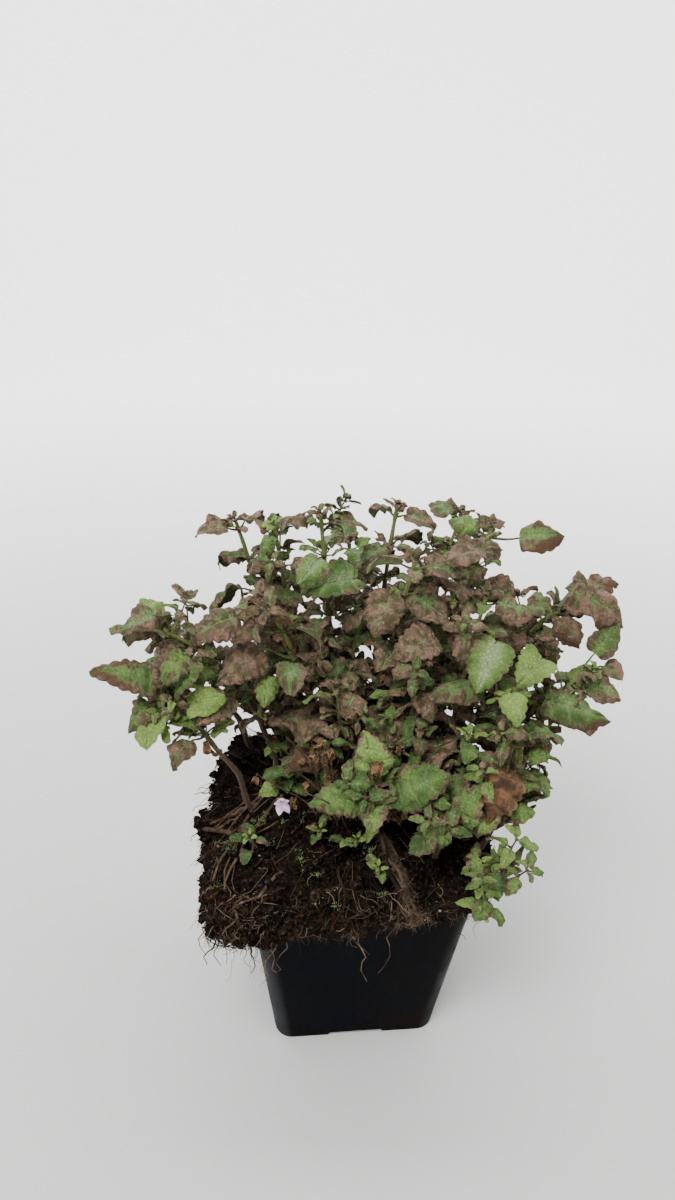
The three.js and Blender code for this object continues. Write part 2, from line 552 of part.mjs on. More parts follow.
const turned = (random, attempt, spread) => (
  spread * (random() - 0.5) * Math.min(1, ASIDE.least + attempt / ASIDE.steps));

// One of the leaves that stand out, by its base and tip.
function ownLeaf(stand, index, face, attempt) {
  const [, from, to, width, droop] = stand.own[index];
  const random = draws(LEAF.ownSeed[0] + LEAF.ownSeed[1] * stand.number + index);
  const phase = PHASES * random();
  const first = vec(to).sub(vec(from));
  let length = first.length() * (droop / 2) / Math.sin(droop / 2);
  let chord = first;
  for (let k = 1; k <= attempt; k += 1) {
    chord = first.clone().applyAxisAngle(UP, turned(random, k, ASIDE.ownTurn));
    chord.z += turned(random, k, ASIDE.ownLift) * length;
    length *= 1 - LEAF.shrink;
  }
  const side = new THREE.Vector3(...LEAF.facing).cross(chord).normalize();
  const along = chord.clone().applyAxisAngle(side, -droop / 2);
  const upper = along.clone().cross(side);
  const base = vec(from).addScaledVector(face.out, ASIDE.ownShift * attempt);
  return heldLeaf(face, base, along, upper, length, width, droop, LEAF.fold, phase);
}

// One leaf of the rule, from a face of a node. Minor leaves are the small ones between the pair's two.
function ruleLeaf(stand, node, number, face, minor, attempt) {
  const random = draws(LEAF.ruleSeed[0] * stand.number + LEAF.ruleSeed[1] * number);
  const { share, along: stemWay } = node;
  const outward = new THREE.Vector3(face.middle.x, face.middle.y, 0).multiplyScalar(LEAF.outward);
  const flat = face.out.clone().add(outward);
  const yaw = VARIETY.yaw * (random() - 0.5);
  const raised = (minor ? VARIETY.minorLift : 0) + (share === 1 ? VARIETY.topLift : 0);
  const lift = stand.lift + VARIETY.lift * (random() - 0.5) + raised;
  const plainLength = mix(stand.leaf[0], stand.leaf[1], share) * (minor ? LEAF.minor : 1);
  let length = plainLength * mix(...VARIETY.length, random());
  const roll = VARIETY.roll * (random() - 0.5);
  const droop = LEAF.droop * mix(...VARIETY.droop, random());
  const fold = LEAF.fold * mix(...VARIETY.fold, random());
  const phase = PHASES * random();
  let [turn, shift] = [yaw, 0];
  for (let k = 1; k <= attempt; k += 1) {
    turn = yaw + turned(random, k, ASIDE.turn);
    shift = turned(random, k, ASIDE.lift);
    length *= 1 - LEAF.shrink;
  }
  const out = Math.atan2(flat.y, flat.x) + turn;
  const level = new THREE.Vector3(Math.cos(out), Math.sin(out), 0);
  const along = level.clone().multiplyScalar(Math.cos(lift + shift));
  along.z = Math.sin(lift + shift);
  const stalk = length * (minor ? VARIETY.minorStalk : mix(...VARIETY.stalk, share)) + VARIETY.stalkMore;
  const [outShare, stemShare, upShare] = VARIETY.stalkWay;
  const way = level.clone().addScaledVector(face.out, outShare).addScaledVector(stemWay, stemShare)
    .addScaledVector(UP, upShare).normalize();
  const base = face.middle.clone().addScaledVector(way, stalk);
  const upper = UP.clone().applyAxisAngle(along, roll);
  return heldLeaf(face, base, along, upper, length, length * LEAF.ratio, droop, fold, phase);
}

// The point of a leaf at a share of its length, a share of its width and a height over its surface.
function leafPoint(leaf, u, v, h) {
  const bend = leaf.droop * u;
  const ahead = (leaf.length * Math.sin(bend)) / leaf.droop;
  const down = (leaf.length * (1 - Math.cos(bend))) / leaf.droop;
  const reach = v * leaf.width;
  const raise = Math.abs(reach) * Math.sin(leaf.fold) + h
    + LEAF.wave * leaf.length * 4 * v * v
    * Math.sin(LEAF.turns * u + leaf.phase + (v > 0 ? 0 : LEAF.otherSide));
  return leaf.base.clone().addScaledVector(leaf.x, ahead + raise * Math.sin(bend))
    .addScaledVector(leaf.y, reach * Math.cos(leaf.fold))
    .addScaledVector(leaf.z, -down + raise * Math.cos(bend));
}

const gradeOf = (leaf) => (leaf.length >= LEAF.finest ? 2 : leaf.length >= LEAF.plainest ? 1 : 0);

// The points and triangles of a leaf, open where its stalk meets the stem. The blade's two faces share
// its edge and are split alike. With grow, all faces stand further out. The last four points are the
// stalk's end: the corners of the face it grows from, moved out by off.
function leafSkin(leaf, grow = 0, off = 0) {
  const grade = gradeOf(leaf);
  const half = LEAF.thick / 2 + grow;
  const wide = LEAF.stalkHalf + grow;
  const points = [];
  const triangles = [];
  const put = (p) => points.push(p) - 1;
  const stretch = 1 + (1.6 * grow) / leaf.length;
  const spread = 1 + (2.2 * grow) / leaf.width;
  const edge = [[0, wide / leaf.width / spread], ...EDGES[grade]];
  const both = (rim) => (grow > 0 ? [rim(grow), rim(-grow)] : Array(2).fill(rim(0)));
  const sides = [1, -1].map((s) => edge.map(([u, v]) => both((h) => (
    put(leafPoint(leaf, u * stretch, s * v * spread, h))))));
  const tip = both((h) => put(leafPoint(leaf, stretch, 0, h)));
  const ribAt = [0, ...MIDRIBS[grade]];
  const ribs = [1, -1].map((s) => ribAt.map((u) => put(leafPoint(leaf, u, 0, s * half))));
  const flip = (triangle, odd) => triangles.push(odd ? triangle.reverse() : triangle);
  sides.forEach((rim, side) => {
    [0, 1].forEach((face) => {
      const outer = [...rim.map((pair) => pair[face]), tip[face]];
      const outerAt = [...edge.map(([u]) => u), 1];
      const inner = [...ribs[face], tip[face]];
      const innerAt = [...ribAt, 1];
      let [i, j] = [0, 0];
      while (i + 2 < outer.length || j + 2 < inner.length) {
        const behind = j + 2 < inner.length && innerAt[j + 1] < outerAt[i + 1];
        const stepInner = i + 2 === outer.length || behind;
        flip([inner[j], stepInner ? inner[j + 1] : outer[i + 1], outer[i]], (side + face) % 2);
        if (stepInner) j += 1;
        else i += 1;
      }
      flip([inner[j], tip[face], outer[i]], (side + face) % 2);
    });
    const loop = grow > 0 ? [...rim, tip] : [];
    for (let k = 0; k + 1 < loop.length; k += 1) {
      const [a, b, c, d] = [loop[k][0], loop[k + 1][0], loop[k + 1][1], loop[k][1]];
      flip([a, b, c], side);
      flip([a, c, d], side);
    }
  });
  const [left, right] = [sides[0][0], sides[1][0]];
  if (grow > 0) triangles.push([left[0], left[1], ribs[1][0]], [right[1], right[0], ribs[1][0]]);
  const ring = [left[0], ribs[0][0], right[0], ribs[1][0]];
  const middle = leaf.face.middle;
  const corners = leaf.face.corners.map((p) => p.clone().addScaledVector(leaf.face.out, off));
  const wayIn = middle.clone().sub(leaf.base).normalize();
  const flatOf = (p, about) => {
    const arm = p.clone().sub(about);
    return arm.addScaledVector(wayIn, -arm.dot(wayIn)).normalize();
  };
  const match = (s) => ring.reduce((sum, r, i) => (
    sum + flatOf(points[r], leaf.base).dot(flatOf(leaf.face.corners[(i + s) % 4], middle))), 0);
  const start = [0, 1, 2, 3].reduce((best, s) => (match(s) > match(best) + 1e-9 ? s : best), 0);
  const foot = points.length;
  corners.forEach(put);
  ring.forEach((r, i) => {
    const [s, a, b] = [ring[(i + 1) % 4], foot + ((i + start) % 4), foot + ((i + start + 1) % 4)];
    triangles.push([s, r, a], [s, a, b]);
  });
  return { points, triangles, foot };
}

function leafBody(leaf, grow = 0, off = 0) {
  const { points, triangles, foot } = leafSkin(leaf, grow, off);
  return solid(points, [...triangles, [foot, foot + 2, foot + 1], [foot, foot + 3, foot + 2]]);
}

// Whether two bodies' boxes come near each other.
function near(a, b) {
  return [0, 1, 2].every((i) => a.min[i] < b.max[i] && b.min[i] < a.max[i]);
}

// The things that are already placed, each with the name of its node.
const placed = [];

function place(body, node) {
  placed.push({ body, node, box: body.boundingBox() });
}

// Whether a leaf clears all that is placed: with a gap from other nodes, and bare of its own.
function clears(leaf, node) {
  const way = leaf.base.clone().sub(leaf.face.middle);
  const length = way.length();
  if (way.dot(leaf.face.out) < LEAF.squarely * length || length < LEAF.leastStalk) return false;
  const wide = leafBody(leaf, LEAF.probe);
  const slim = leafBody(leaf, LEAF.probe * 0.2, 0.25);
  const box = wide.boundingBox();
  return placed.every((thing) => (
    !near(box, thing.box) || (thing.node === node ? slim : wide).intersect(thing.body).isEmpty()));
}

// The first attempt at a leaf that clears its neighbours, or nothing once it is shorter than the least.
function fitLeaf(pose, node, least) {
  for (let attempt = 0; attempt < LEAF.tries; attempt += 1) {
    const leaf = pose(attempt);
    if (leaf.length < least) return null;
    if (clears(leaf, node)) return leaf;
  }
  return null;
}

const name = (kind, number) => `${kind}_${String(number).padStart(2, "0")}`;

// A short straight shoot, laid out like a leafy stem.
function shootStand(shoot, i) {
  const [foot, tip] = [vec(shoot.foot), vec(shoot.tip)];
  const bend = foot.clone().lerp(tip, 0.6);
  bend.z += 2;
  return {
    path: [shoot.foot, foot.clone().lerp(tip, 0.3).toArray(), bend.toArray(), shoot.tip],
    pairs: shoot.pairs, from: 0.72, leaf: [shoot.leaf, shoot.leaf * 0.8], lift: 0.3, own: [],
    number: LEAFY_STEMS.length + i + 1, node: name("young_shoot", i + 1), spin: 1.3 * i, size: SHOOT,
  };
}

const STANDS = [
  ...LEAFY_STEMS.map((stem, i) => (
    { ...stem, number: i + 1, node: name("leafy_stem", i + 1), size: STEM, spin: 1.9 * i })),
  ...SHOOTS.map(shootStand),
];

// The leaves that a stand wants, each with the face it grows from and its attempts. The leaves that stand
// out come first and take the free face of the nearest node that looks their way.
function wantedLeaves(stand, bones) {
  const free = bones.nodes.map(() => new Set([0, 1, 2, 3]));
  const wanted = stand.own.map((own, index) => {
    const at = (own[0] - stand.from) / (0.97 - stand.from);
    const order = bones.nodes.map((node, k) => [Math.abs(node.share - at) + (free[k].size ? 0 : 9), k]);
    const k = order.reduce((best, item) => (item[0] < best[0] ? item : best))[1];
    const { faces, ring } = bones.nodes[k];
    const way = vec(own[1]).sub(faces[0].middle.clone().lerp(faces[2].middle, 0.5));
    const i = [...free[k]].reduce((best, f) => (
      faces[f].out.dot(way) > faces[best].out.dot(way) ? f : best));
    free[k].delete(i);
    return { rank: 0, slot: 4 * ring + i, pose: (attempt) => ownLeaf(stand, index, faces[i], attempt) };
  });
  bones.nodes.forEach((node, k) => {
    [0, 2, 1, 3].forEach((turn, order) => {
      const i = (turn + k) % 4;
      const minor = order > 1;
      if (!free[k].has(i) || (minor && !stand.size.minors)) return;
      const pose = (attempt) => ruleLeaf(stand, node, 4 * k + i, node.faces[i], minor, attempt);
      wanted.push({ rank: 1 + order, slot: 4 * node.ring + i, pose });
    });
  });
  return wanted;
}

// All stems and twigs, then leaf after leaf where it clears what is already there.
function growAll(ground) {
  const holes = [];
  ground.forEach((body) => place(body, "ground"));
  const grown = STANDS.map((stand) => ({ stand, bones: skeleton(stand), leaves: [] }));
  const twigs = TWIGS.map(([foot, middle, tip], i) => {
    const bends = [vec(foot).lerp(vec(middle), 0.66), vec(middle).lerp(vec(tip), 0.34)];
    const path = [foot, ...bends.map((p) => p.toArray()), tip];
    const bones = skeleton({ path, size: TWIG, pairs: 0, from: 1, spin: i });
    return { stand: { node: name("twig", i + 1) }, bones, leaves: [] };
  });
  for (const { stand, bones } of [...grown, ...twigs]) {
    const { points, triangles } = stemSkin(bones);
    place(solid(points, triangles), stand.node);
    holes.push(stemHole(bones));
  }
  const wanted = grown.flatMap((plant) => (
    wantedLeaves(plant.stand, plant.bones).map((want) => ({ ...want, plant }))));
  wanted.sort((a, b) => a.rank - b.rank);
  for (const { plant, slot, pose } of wanted) {
    const leaf = fitLeaf(pose, plant.stand.node, plant.stand.size.least);
    if (!leaf) continue;
    place(leafBody(leaf), plant.stand.node);
    plant.leaves.push({ leaf, slot });
  }
  const bodies = [...grown, ...twigs].map(({ stand, bones, leaves }) => (
    [stand.node, leafyBody(bones, leaves)]));
  return { bodies, holes };
}

// A stem and its leaves as one body: each stalk starts at the corners of its face.
function leafyBody(bones, leaves) {
  const { points, triangles } = stemSkin(bones, new Set(leaves.map(({ slot }) => slot)));
  for (const { leaf, slot } of leaves) {
    const skinOf = leafSkin(leaf);
    const [k, i] = [4 * Math.floor(slot / 4), slot % 4];
    const corners = [k + i, k + ((i + 1) % 4), k + 4 + ((i + 1) % 4), k + 4 + i];
    const shift = points.length;
    points.push(...skinOf.points.slice(0, skinOf.foot));
    const at = (p) => (p < skinOf.foot ? p + shift : corners[p - skinOf.foot]);
    triangles.push(...skinOf.triangles.map((triangle) => triangle.map(at)));
  }
  return solid(points, triangles);
}

function flowerBody() {
  const [foot, tip] = [vec(FLOWER.foot), vec(FLOWER.tip)];
  const stalk = tube([foot, foot.clone().lerp(tip, 0.5), tip], FLOWER.stalk, 5);
  const way = vec(FLOWER.way).normalize();
  const throat = tip.clone().addScaledVector(way, FLOWER.reach);
  const hood = tube([tip, throat, throat.clone().add(vec(FLOWER.brow))], FLOWER.hood, 5);
  const lipFrom = throat.clone().addScaledVector(way, -FLOWER.lipStart);
  const lip = tube([lipFrom, throat.clone().add(vec(FLOWER.lipFall))], FLOWER.lip, 4);
  return stalk.add(hood).add(lip);
}

function meshOf(node, body, colour, roughness = 0.8) {
  const material = new THREE.MeshStandardMaterial({ color: colour, roughness, metalness: 0 });
  const mesh = new THREE.Mesh(geometryOf(body), material);
  mesh.name = node;
  return mesh;
}

function build() {
  const group = new THREE.Group();
  const pot = potBody();
  let soil = rootBall();
  [...surfaceRoots(), ...fringe()].forEach((root) => {
    soil = soil.add(root);
  });
  const flower = flowerBody();
  place(flower, "flower");
  const { bodies, holes } = growAll([pot, soil]);
  holes.push(tube([vec(FLOWER.foot).addScaledVector(UP, -GAP), vec(FLOWER.tip)], FLOWER.hole, 6));
  holes.forEach((hole) => {
    soil = soil.subtract(hole);
  });
  group.add(meshOf("pot", pot, COLOURS.pot, 0.45));
  group.add(meshOf("root_ball", soil, COLOURS.soil, 0.95));
  group.add(meshOf("flower", flower, COLOURS.flower, 0.6));
  let i = 0;
  for (const [node, body] of bodies) {
    const colour = node.startsWith("twig") ? COLOURS.twig : COLOURS.leaf[i % COLOURS.leaf.length];
    group.add(meshOf(node, body, colour, 0.7));
    i += 1;
  }
  return group;
}

export default build();
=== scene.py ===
"""The looks of a potted spotted dead nettle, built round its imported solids.

Shapes are worked out in millimetres, in the frame of the solids, and written to Blender in metres.
"""
import logging
import math
from dataclasses import dataclass
from enum import Enum
from typing import Any, Callable, Sequence

import bpy
import numpy as np
from mathutils import Matrix, Vector, kdtree, noise


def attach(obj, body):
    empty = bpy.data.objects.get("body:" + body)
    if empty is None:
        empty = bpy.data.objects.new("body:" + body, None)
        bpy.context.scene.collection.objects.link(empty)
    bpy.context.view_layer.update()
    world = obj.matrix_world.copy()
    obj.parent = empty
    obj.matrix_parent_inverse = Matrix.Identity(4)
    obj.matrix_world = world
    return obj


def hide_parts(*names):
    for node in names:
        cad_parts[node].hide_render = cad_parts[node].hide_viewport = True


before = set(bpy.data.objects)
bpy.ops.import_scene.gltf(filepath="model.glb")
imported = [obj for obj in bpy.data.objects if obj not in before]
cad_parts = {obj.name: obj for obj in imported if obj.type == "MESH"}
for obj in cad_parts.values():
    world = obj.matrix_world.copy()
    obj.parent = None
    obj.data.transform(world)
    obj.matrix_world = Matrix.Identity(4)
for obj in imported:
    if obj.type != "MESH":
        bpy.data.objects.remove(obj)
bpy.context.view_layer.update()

LOG = logging.getLogger("dead_nettle")
MM = 0.001
UP = np.array([0.0, 0.0, 1.0])
ANY_TURN = 6.3  # A little over a full turn, from which a direction is drawn.
CORNERS = ((1, 1), (-1, 1), (-1, -1), (1, -1))
Array = np.ndarray
Material = bpy.types.Material
Piece = bpy.types.Object
Colour = tuple[float, float, float]
Spot = tuple[float, float, float]
Span = tuple[float, float]
Shape = tuple[Array, list[tuple[int, ...]]]


# Small sums.


class Draws:
    """Seeded draws between 0 and 1, the same ones that placed the solids."""

    def __init__(self, seed: int) -> None:
        """Starts the draws.

        Args:
            seed: Whole number that names the row of draws.
        """
        self.state = (seed * 747796405 + 2891336453) % 2**32
        for _ in range(4):
            self()

    def __call__(self) -> float:
        """The next draw."""
        self.state = (self.state * 1664525 + 1013904223) % 2**32
        return self.state / 2**32

    def between(self, low: float, high: float) -> float:
        """The next draw, spread from low to high."""
        return low + (high - low) * self()


def mix(a: Any, b: Any, t: Any) -> Any:
    """The value a share t of the way from a to b."""
    return a + (b - a) * t


def unit(v: Array) -> Array:
    """The direction of v."""
    return v / np.linalg.norm(v)


def level(angle: float) -> Array:
    """The level direction at an angle."""
    return np.array([math.cos(angle), math.sin(angle), 0.0])


def beside(way: Array) -> Array:
    """A direction square to a way."""
    return unit(np.cross(way, np.array([0.3, 0.9, 0.2])))


def bump(x: Any, middle: float, width: float) -> Any:
    """A smooth bump of height 1."""
    return np.exp(-(((x - middle) / width) ** 2))


def crooks(at: Array, size: Any, waves: Span, seed: int) -> Array:
    """The level steps aside that make a stalk crooked, a row for each place along it."""
    return np.stack([size * np.sin(waves[0] * at + seed), size * np.cos(waves[1] * at + 2 * seed), 0 * at], 1)


def spun(v: Array, axis: Array, angle: float) -> Array:
    """v turned about an axis of length 1."""
    c, s = math.cos(angle), math.sin(angle)
    return v * c + np.cross(axis, v) * s + axis * float(axis @ v) * (1 - c)


def smoothstep(low: float, high: float, x: Any) -> Any:
    """0 below low, 1 above high and a soft rise between them."""
    t = np.clip((x - low) / (high - low), 0.0, 1.0)
    return t * t * (3 - 2 * t)


def bezier(path: Array, t: float) -> Array:
    """The point at t of a stem's path, which is its foot, two bends and its tip."""
    s = 1 - t
    return path[0] * s**3 + 3 * path[1] * s * s * t + 3 * path[2] * s * t * t + path[3] * t**3


def through(points: Sequence[Sequence[float]], at: Array) -> Array:
    """Smooth values through a table of points.

    Args:
        points: Rows of place and values, with places that rise.
        at: Places to read.

    Returns:
        One row of values for each place.
    """
    table = np.array(points, float)
    places, values = table[:, 0], table[:, 1:]
    slopes = np.gradient(values, places, axis=0)
    i = np.clip(np.searchsorted(places, at, side="right") - 1, 0, len(places) - 2)
    gap = (places[i + 1] - places[i])[:, None]
    t = ((at - places[i]) / gap[:, 0])[:, None]
    a, b = values[i], values[i + 1]
    return (a * (1 + 2 * t) * (1 - t) ** 2 + slopes[i] * gap * t * (1 - t) ** 2
            + b * t * t * (3 - 2 * t) - slopes[i + 1] * gap * t * t * (1 - t))


def rough(p: Array, size: float, octaves: int) -> float:
    """Cloudy noise from about -1 to 1, with its largest clouds of a size in mm."""
    return noise.fractal(Vector(p / size), 0.9, 2.1, octaves)


# Materials.


class Socket:
    """A value in a material, with arithmetic that adds its Math nodes."""

    def __init__(self, recipe: "Recipe", output: bpy.types.NodeSocket) -> None:
        """Wraps a node's output."""
        self.recipe, self.output = recipe, output

    def _sum(self, operation: str, *values: Any) -> "Socket":
        """A Math node on the values, in order."""
        return self.recipe.node("ShaderNodeMath", {"operation": operation}, dict(enumerate(values)))

    def __add__(self, other: Any) -> "Socket":
        """self + other."""
        return self._sum("ADD", self, other)

    def __radd__(self, other: float) -> "Socket":
        """other + self."""
        return self._sum("ADD", other, self)

    def __sub__(self, other: Any) -> "Socket":
        """self - other."""
        return self._sum("SUBTRACT", self, other)

    def __rsub__(self, other: float) -> "Socket":
        """other - self."""
        return self._sum("SUBTRACT", other, self)

    def __mul__(self, other: Any) -> "Socket":
        """self * other."""
        return self._sum("MULTIPLY", self, other)

    def __rmul__(self, other: float) -> "Socket":
        """other * self."""
        return self._sum("MULTIPLY", other, self)

    def __abs__(self) -> "Socket":
        """The size of self."""
        return self._sum("ABSOLUTE", self)

    def fraction(self) -> "Socket":
        """What is left of self over a whole number."""
        return self._sum("FRACT", self)

    def over(self, low: float, high: float) -> "Socket":
        """0 where self is below low, 1 above high, with a soft rise between."""
        return self.recipe.node("ShaderNodeMapRange", {"interpolation_type": "SMOOTHSTEP", "clamp": True},
                                {"Value": self, "From Min": low, "From Max": high})


class Recipe:
    """A material under way."""

    def __init__(self, name: str) -> None:
        """Starts an empty material.

        Args:
            name: The material's name.
        """
        self.material = bpy.data.materials.new(name)
        self.material.use_nodes = True
        self.tree = self.material.node_tree
        self.tree.nodes.clear()
        self.place = self.node("ShaderNodeTexCoord", output="Object")

    def node(self, kind: str, settings: dict[str, Any] | None = None,
             inputs: dict[Any, Any] | None = None, output: Any = 0) -> Socket:
        """Adds a node.

        Args:
            kind: The node's type.
            settings: Its settings, set before its sockets. A ramp's stops are pairs of place and colour.
            inputs: Values or links by socket name or number.
            output: Name or number of the output that is wanted.

        Returns:
            That output.
        """
        made = self.tree.nodes.new(kind)
        for key, value in (settings or {}).items():
            if key == "stops":
                ramp = made.color_ramp
                while len(ramp.elements) < len(value):
                    ramp.elements.new(0.5)
                for element, (at, colour) in zip(ramp.elements, value):
                    element.position, element.color = at, (*colour, 1.0)
            else:
                setattr(made, key, value)
        for key, value in (inputs or {}).items():
            socket = made.inputs[key]
            if isinstance(value, Socket):
                self.tree.links.new(value.output, socket)
            elif isinstance(value, tuple) and socket.type == "RGBA":
                socket.default_value = (*value, 1.0)
            else:
                socket.default_value = value
        return Socket(self, made.outputs[output])

    def stretched(self, share: float) -> Socket:
        """The object's own place, drawn out upwards where the share is below 1."""
        return self.node("ShaderNodeMapping", {}, {"Vector": self.place, "Scale": (1.0, 1.0, share)})

    def clouds(self, size: float, detail: float = 3.0, at: Socket | None = None) -> Socket:
        """Noise from 0 to 1 with clouds of a size in mm, read at the object's own place or another."""
        return self.node("ShaderNodeTexNoise", {},
                         {"Vector": at or self.place, "Scale": 1 / (size * MM), "Detail": detail})

    def cells(self, size: float, feature: str = "F1") -> Socket:
        """Distance within cells of a size in mm."""
        return self.node("ShaderNodeTexVoronoi", {"feature": feature},
                         {"Vector": self.place, "Scale": 1 / (size * MM)}, "Distance")

    def blend(self, share: Any, a: Any, b: Any) -> Socket:
        """The colour a share of the way from a to b."""
        return self.node("ShaderNodeMix", {"data_type": "RGBA"}, {"Factor": share, 6: a, 7: b}, 2)

    def parts(self, attribute: str) -> list[Socket]:
        """The three numbers of a mesh's vector attribute."""
        return self.axes(self.node("ShaderNodeAttribute", {"attribute_name": attribute}, output="Vector"))

    def axes(self, vector: Socket) -> list[Socket]:
        """The three numbers of a vector."""
        return [self.node("ShaderNodeSeparateXYZ", {}, {0: vector}, axis) for axis in "XYZ"]

    def surface(self, colour: Any, roughness: Any, height: Socket | None = None, depth: float = 0.2,
                **fixed: Any) -> Material:
        """Ends the recipe with its shader.

        Args:
            colour: Base colour.
            roughness: Roughness.
            height: Relief for the bump, from 0 to 1.
            depth: The relief's depth in mm.
            **fixed: Other sockets of the shader, each a plain number or colour.

        Returns:
            The finished material.
        """
        inputs = {"Base Color": colour, "Roughness": roughness}
        if height is not None:
            inputs["Normal"] = self.node("ShaderNodeBump", {},
                                         {"Height": height, "Distance": depth * MM, "Strength": 1.0})
        inputs.update({key.replace("_", " "): value for key, value in fixed.items()})
        shader = self.node("ShaderNodeBsdfPrincipled", {}, inputs)
        end = self.tree.nodes.new("ShaderNodeOutputMaterial")
        self.tree.links.new(shader.output, end.inputs["Surface"])
        return self.material


@dataclass(frozen=True)
class Foliage:
    """Hairy, quilted leaves: dull green with a pale middle, mauve stains with pale flecks that are partly
    painted highlights, brown edges and specks, and painted shade in the creases of the quilting.
    """

    deep: Colour = (0.024, 0.05, 0.012)
    bright: Colour = (0.15, 0.24, 0.052)
    silver: Colour = (0.19, 0.25, 0.125)
    mauve: Colour = (0.122, 0.06, 0.054)
    rose: Colour = (0.19, 0.088, 0.076)
    bronze: Colour = (0.132, 0.092, 0.03)
    brown: Colour = (0.058, 0.032, 0.017)
    tan: Colour = (0.25, 0.165, 0.095)
    yellow: Colour = (0.24, 0.27, 0.08)
    beneath: Colour = (0.15, 0.175, 0.085)
    vein: Colour = (0.2, 0.245, 0.1)
    purple: Colour = (0.045, 0.022, 0.02)

    def make(self) -> Material:
        """The leaf material, which reads each leaf's own attributes."""
        r = Recipe("foliage")
        rib, across, along = r.parts("leaf_place")
        silver, mauve, dry = r.parts("leaf_tint")
        tone, under, yellow = r.parts("leaf_tone")
        wide, middle, fine = r.clouds(8, 4), r.clouds(3, 3), r.clouds(1.3, 4)
        net = r.cells(1.5, "DISTANCE_TO_EDGE")
        vein = 1 - abs(2 * rib.fraction() - 1)
        lines = (1 - vein.over(0.02, 0.3)) * across.over(0.02, 0.14)
        midrib = 1 - across.over(0.015, 0.08)
        crease = 1 - net.over(0.0, 0.3)
        lit = (tone * 0.8 + (wide - 0.5) * 0.9 + (middle - 0.5) * 0.9 + (fine - 0.5) * 0.35
               - across * 0.12 + 0.04)
        colour = r.blend(lit.over(0, 1), self.deep, self.bright)
        colour = r.blend(yellow * (wide + 0.4), colour, self.yellow)
        band = 1 - (across + (fine - 0.5) * 0.7 + (middle - 0.5) * 0.8).over(0.1, 0.62)
        colour = r.blend(band * silver * 0.8, colour, self.silver)
        stain = (mauve * 1.3 + (wide - 0.5) * 1.6 + (middle - 0.5) * 1.5 + (fine - 0.5) * 0.5 + across * 0.7
                 - lines * 0.25 - midrib * 0.3 - 0.82).over(0, 0.4)
        stained = r.blend(middle.over(0.4, 0.62), self.mauve, self.bronze)
        stained = r.blend((wide * 1.6 + tone * 0.5 - 0.75).over(0.1, 0.4) * 0.75, stained, self.rose)
        stained = r.blend((fine * 0.35 + middle * 0.7).over(0.45, 0.6) * 0.92, stained, self.purple)
        # Pale tan flecks in the stains: partly paler patches of the leaf's own colour, partly painted
        # highlights.
        stained = r.blend((1 - fine).over(0.6, 0.74) * 0.2, stained, self.tan)
        colour = r.blend(stain * mauve.over(0, 0.25) * 0.9, colour, stained)
        colour = r.blend((lines * 0.18 + midrib * 0.22) * (1 - stain * 0.5), colour, self.vein)
        # Painted shade in the creases between the quilted cells, which also stands for the darker green of
        # the sunken veins; there is less of it towards the edge.
        colour = r.blend(crease * (1 - across * 0.4) * 0.42, colour, self.deep)
        edge = dry * 1.3 + (along - 0.8) * 1.2 + (across - 0.9) * 1.3 + (middle - 0.5) * 1.1 - 0.5
        colour = r.blend(edge.over(0, 0.35) * dry.over(0, 0.15), colour, self.brown)
        rim = (across + (fine - 0.5) * 0.25).over(0.9, 1.02) * (mauve + dry + 0.15).over(0, 0.8)
        colour = r.blend(rim * 0.7, colour, self.purple)
        colour = r.blend(fine.over(0.66, 0.74) * (dry + 0.25).over(0, 1) * 0.7, colour, self.brown)
        colour = r.blend(under * 0.5, colour, self.beneath)
        relief = net.over(0, 0.35) * 0.6 + fine * 0.35 + (1 - lines) * 0.3 + (1 - midrib) * 0.2
        return r.surface(colour, 0.55 + fine * 0.25, relief, 0.34, Subsurface_Weight=0.06,
                         Subsurface_Radius=(0.0006, 0.001, 0.0003), Sheen_Weight=0.03, Sheen_Roughness=0.5,
                         Specular_IOR_Level=0.1)


@dataclass(frozen=True)
class StemSkin:
    """Square stems: red-brown to purple below, greener at the growing tip, streaked lengthwise."""

    old: Colour = (0.04, 0.024, 0.015)
    young: Colour = (0.11, 0.14, 0.038)
    tan: Colour = (0.058, 0.038, 0.022)
    purple: Colour = (0.045, 0.022, 0.021)
    furrow: Colour = (0.02, 0.012, 0.008)

    def make(self) -> Material:
        """The stem material."""
        r = Recipe("stem_skin")
        age, tint, _ = r.parts("stem_tone")
        streak = r.clouds(0.8, 3.0, r.stretched(0.12))
        speck = r.clouds(1.1, 4)
        colour = r.blend(tint.over(0, 1), self.old, self.tan)
        colour = r.blend(r.clouds(9, 2).over(0.45, 0.6), colour, self.purple)
        colour = r.blend((age + (speck - 0.5) * 0.6).over(0.45, 1.0), colour, self.young)
        colour = r.blend((streak - 0.35) * 0.8, colour, self.furrow)
        return r.surface(colour, 0.6 + speck * 0.25, streak * 0.7 + speck * 0.5, 0.3, Sheen_Weight=0.03,
                         Specular_IOR_Level=0.12)


@dataclass(frozen=True)
class DeadLeaf:
    """The withered leaf: rusty, crumpled and dull."""

    rust: Colour = (0.125, 0.063, 0.03)
    tan: Colour = (0.19, 0.12, 0.06)
    dark: Colour = (0.035, 0.02, 0.012)

    def make(self) -> Material:
        """The withered leaf's material."""
        r = Recipe("dead_leaf")
        rib, across, along = r.parts("leaf_place")
        wide, fine = r.clouds(4, 4), r.clouds(0.9, 3)
        vein = (1 - abs(2 * rib.fraction() - 1)).over(0.02, 0.25)
        colour = r.blend(wide.over(0.35, 0.65), self.dark, self.rust)
        colour = r.blend((across + fine * 0.3).over(0.9, 1.2), colour, self.tan)
        colour = r.blend((1 - vein) * 0.22, colour, self.tan)
        colour = r.blend(fine.over(0.52, 0.7) * 0.6, colour, self.dark)
        colour = r.blend(along.over(0.85, 1) * 0.5, colour, self.dark)
        return r.surface(colour, 0.75 + fine * 0.15, fine * 0.6 + vein * 0.4 + r.cells(1.2) * 0.4, 0.3,
                         Specular_IOR_Level=0.12)


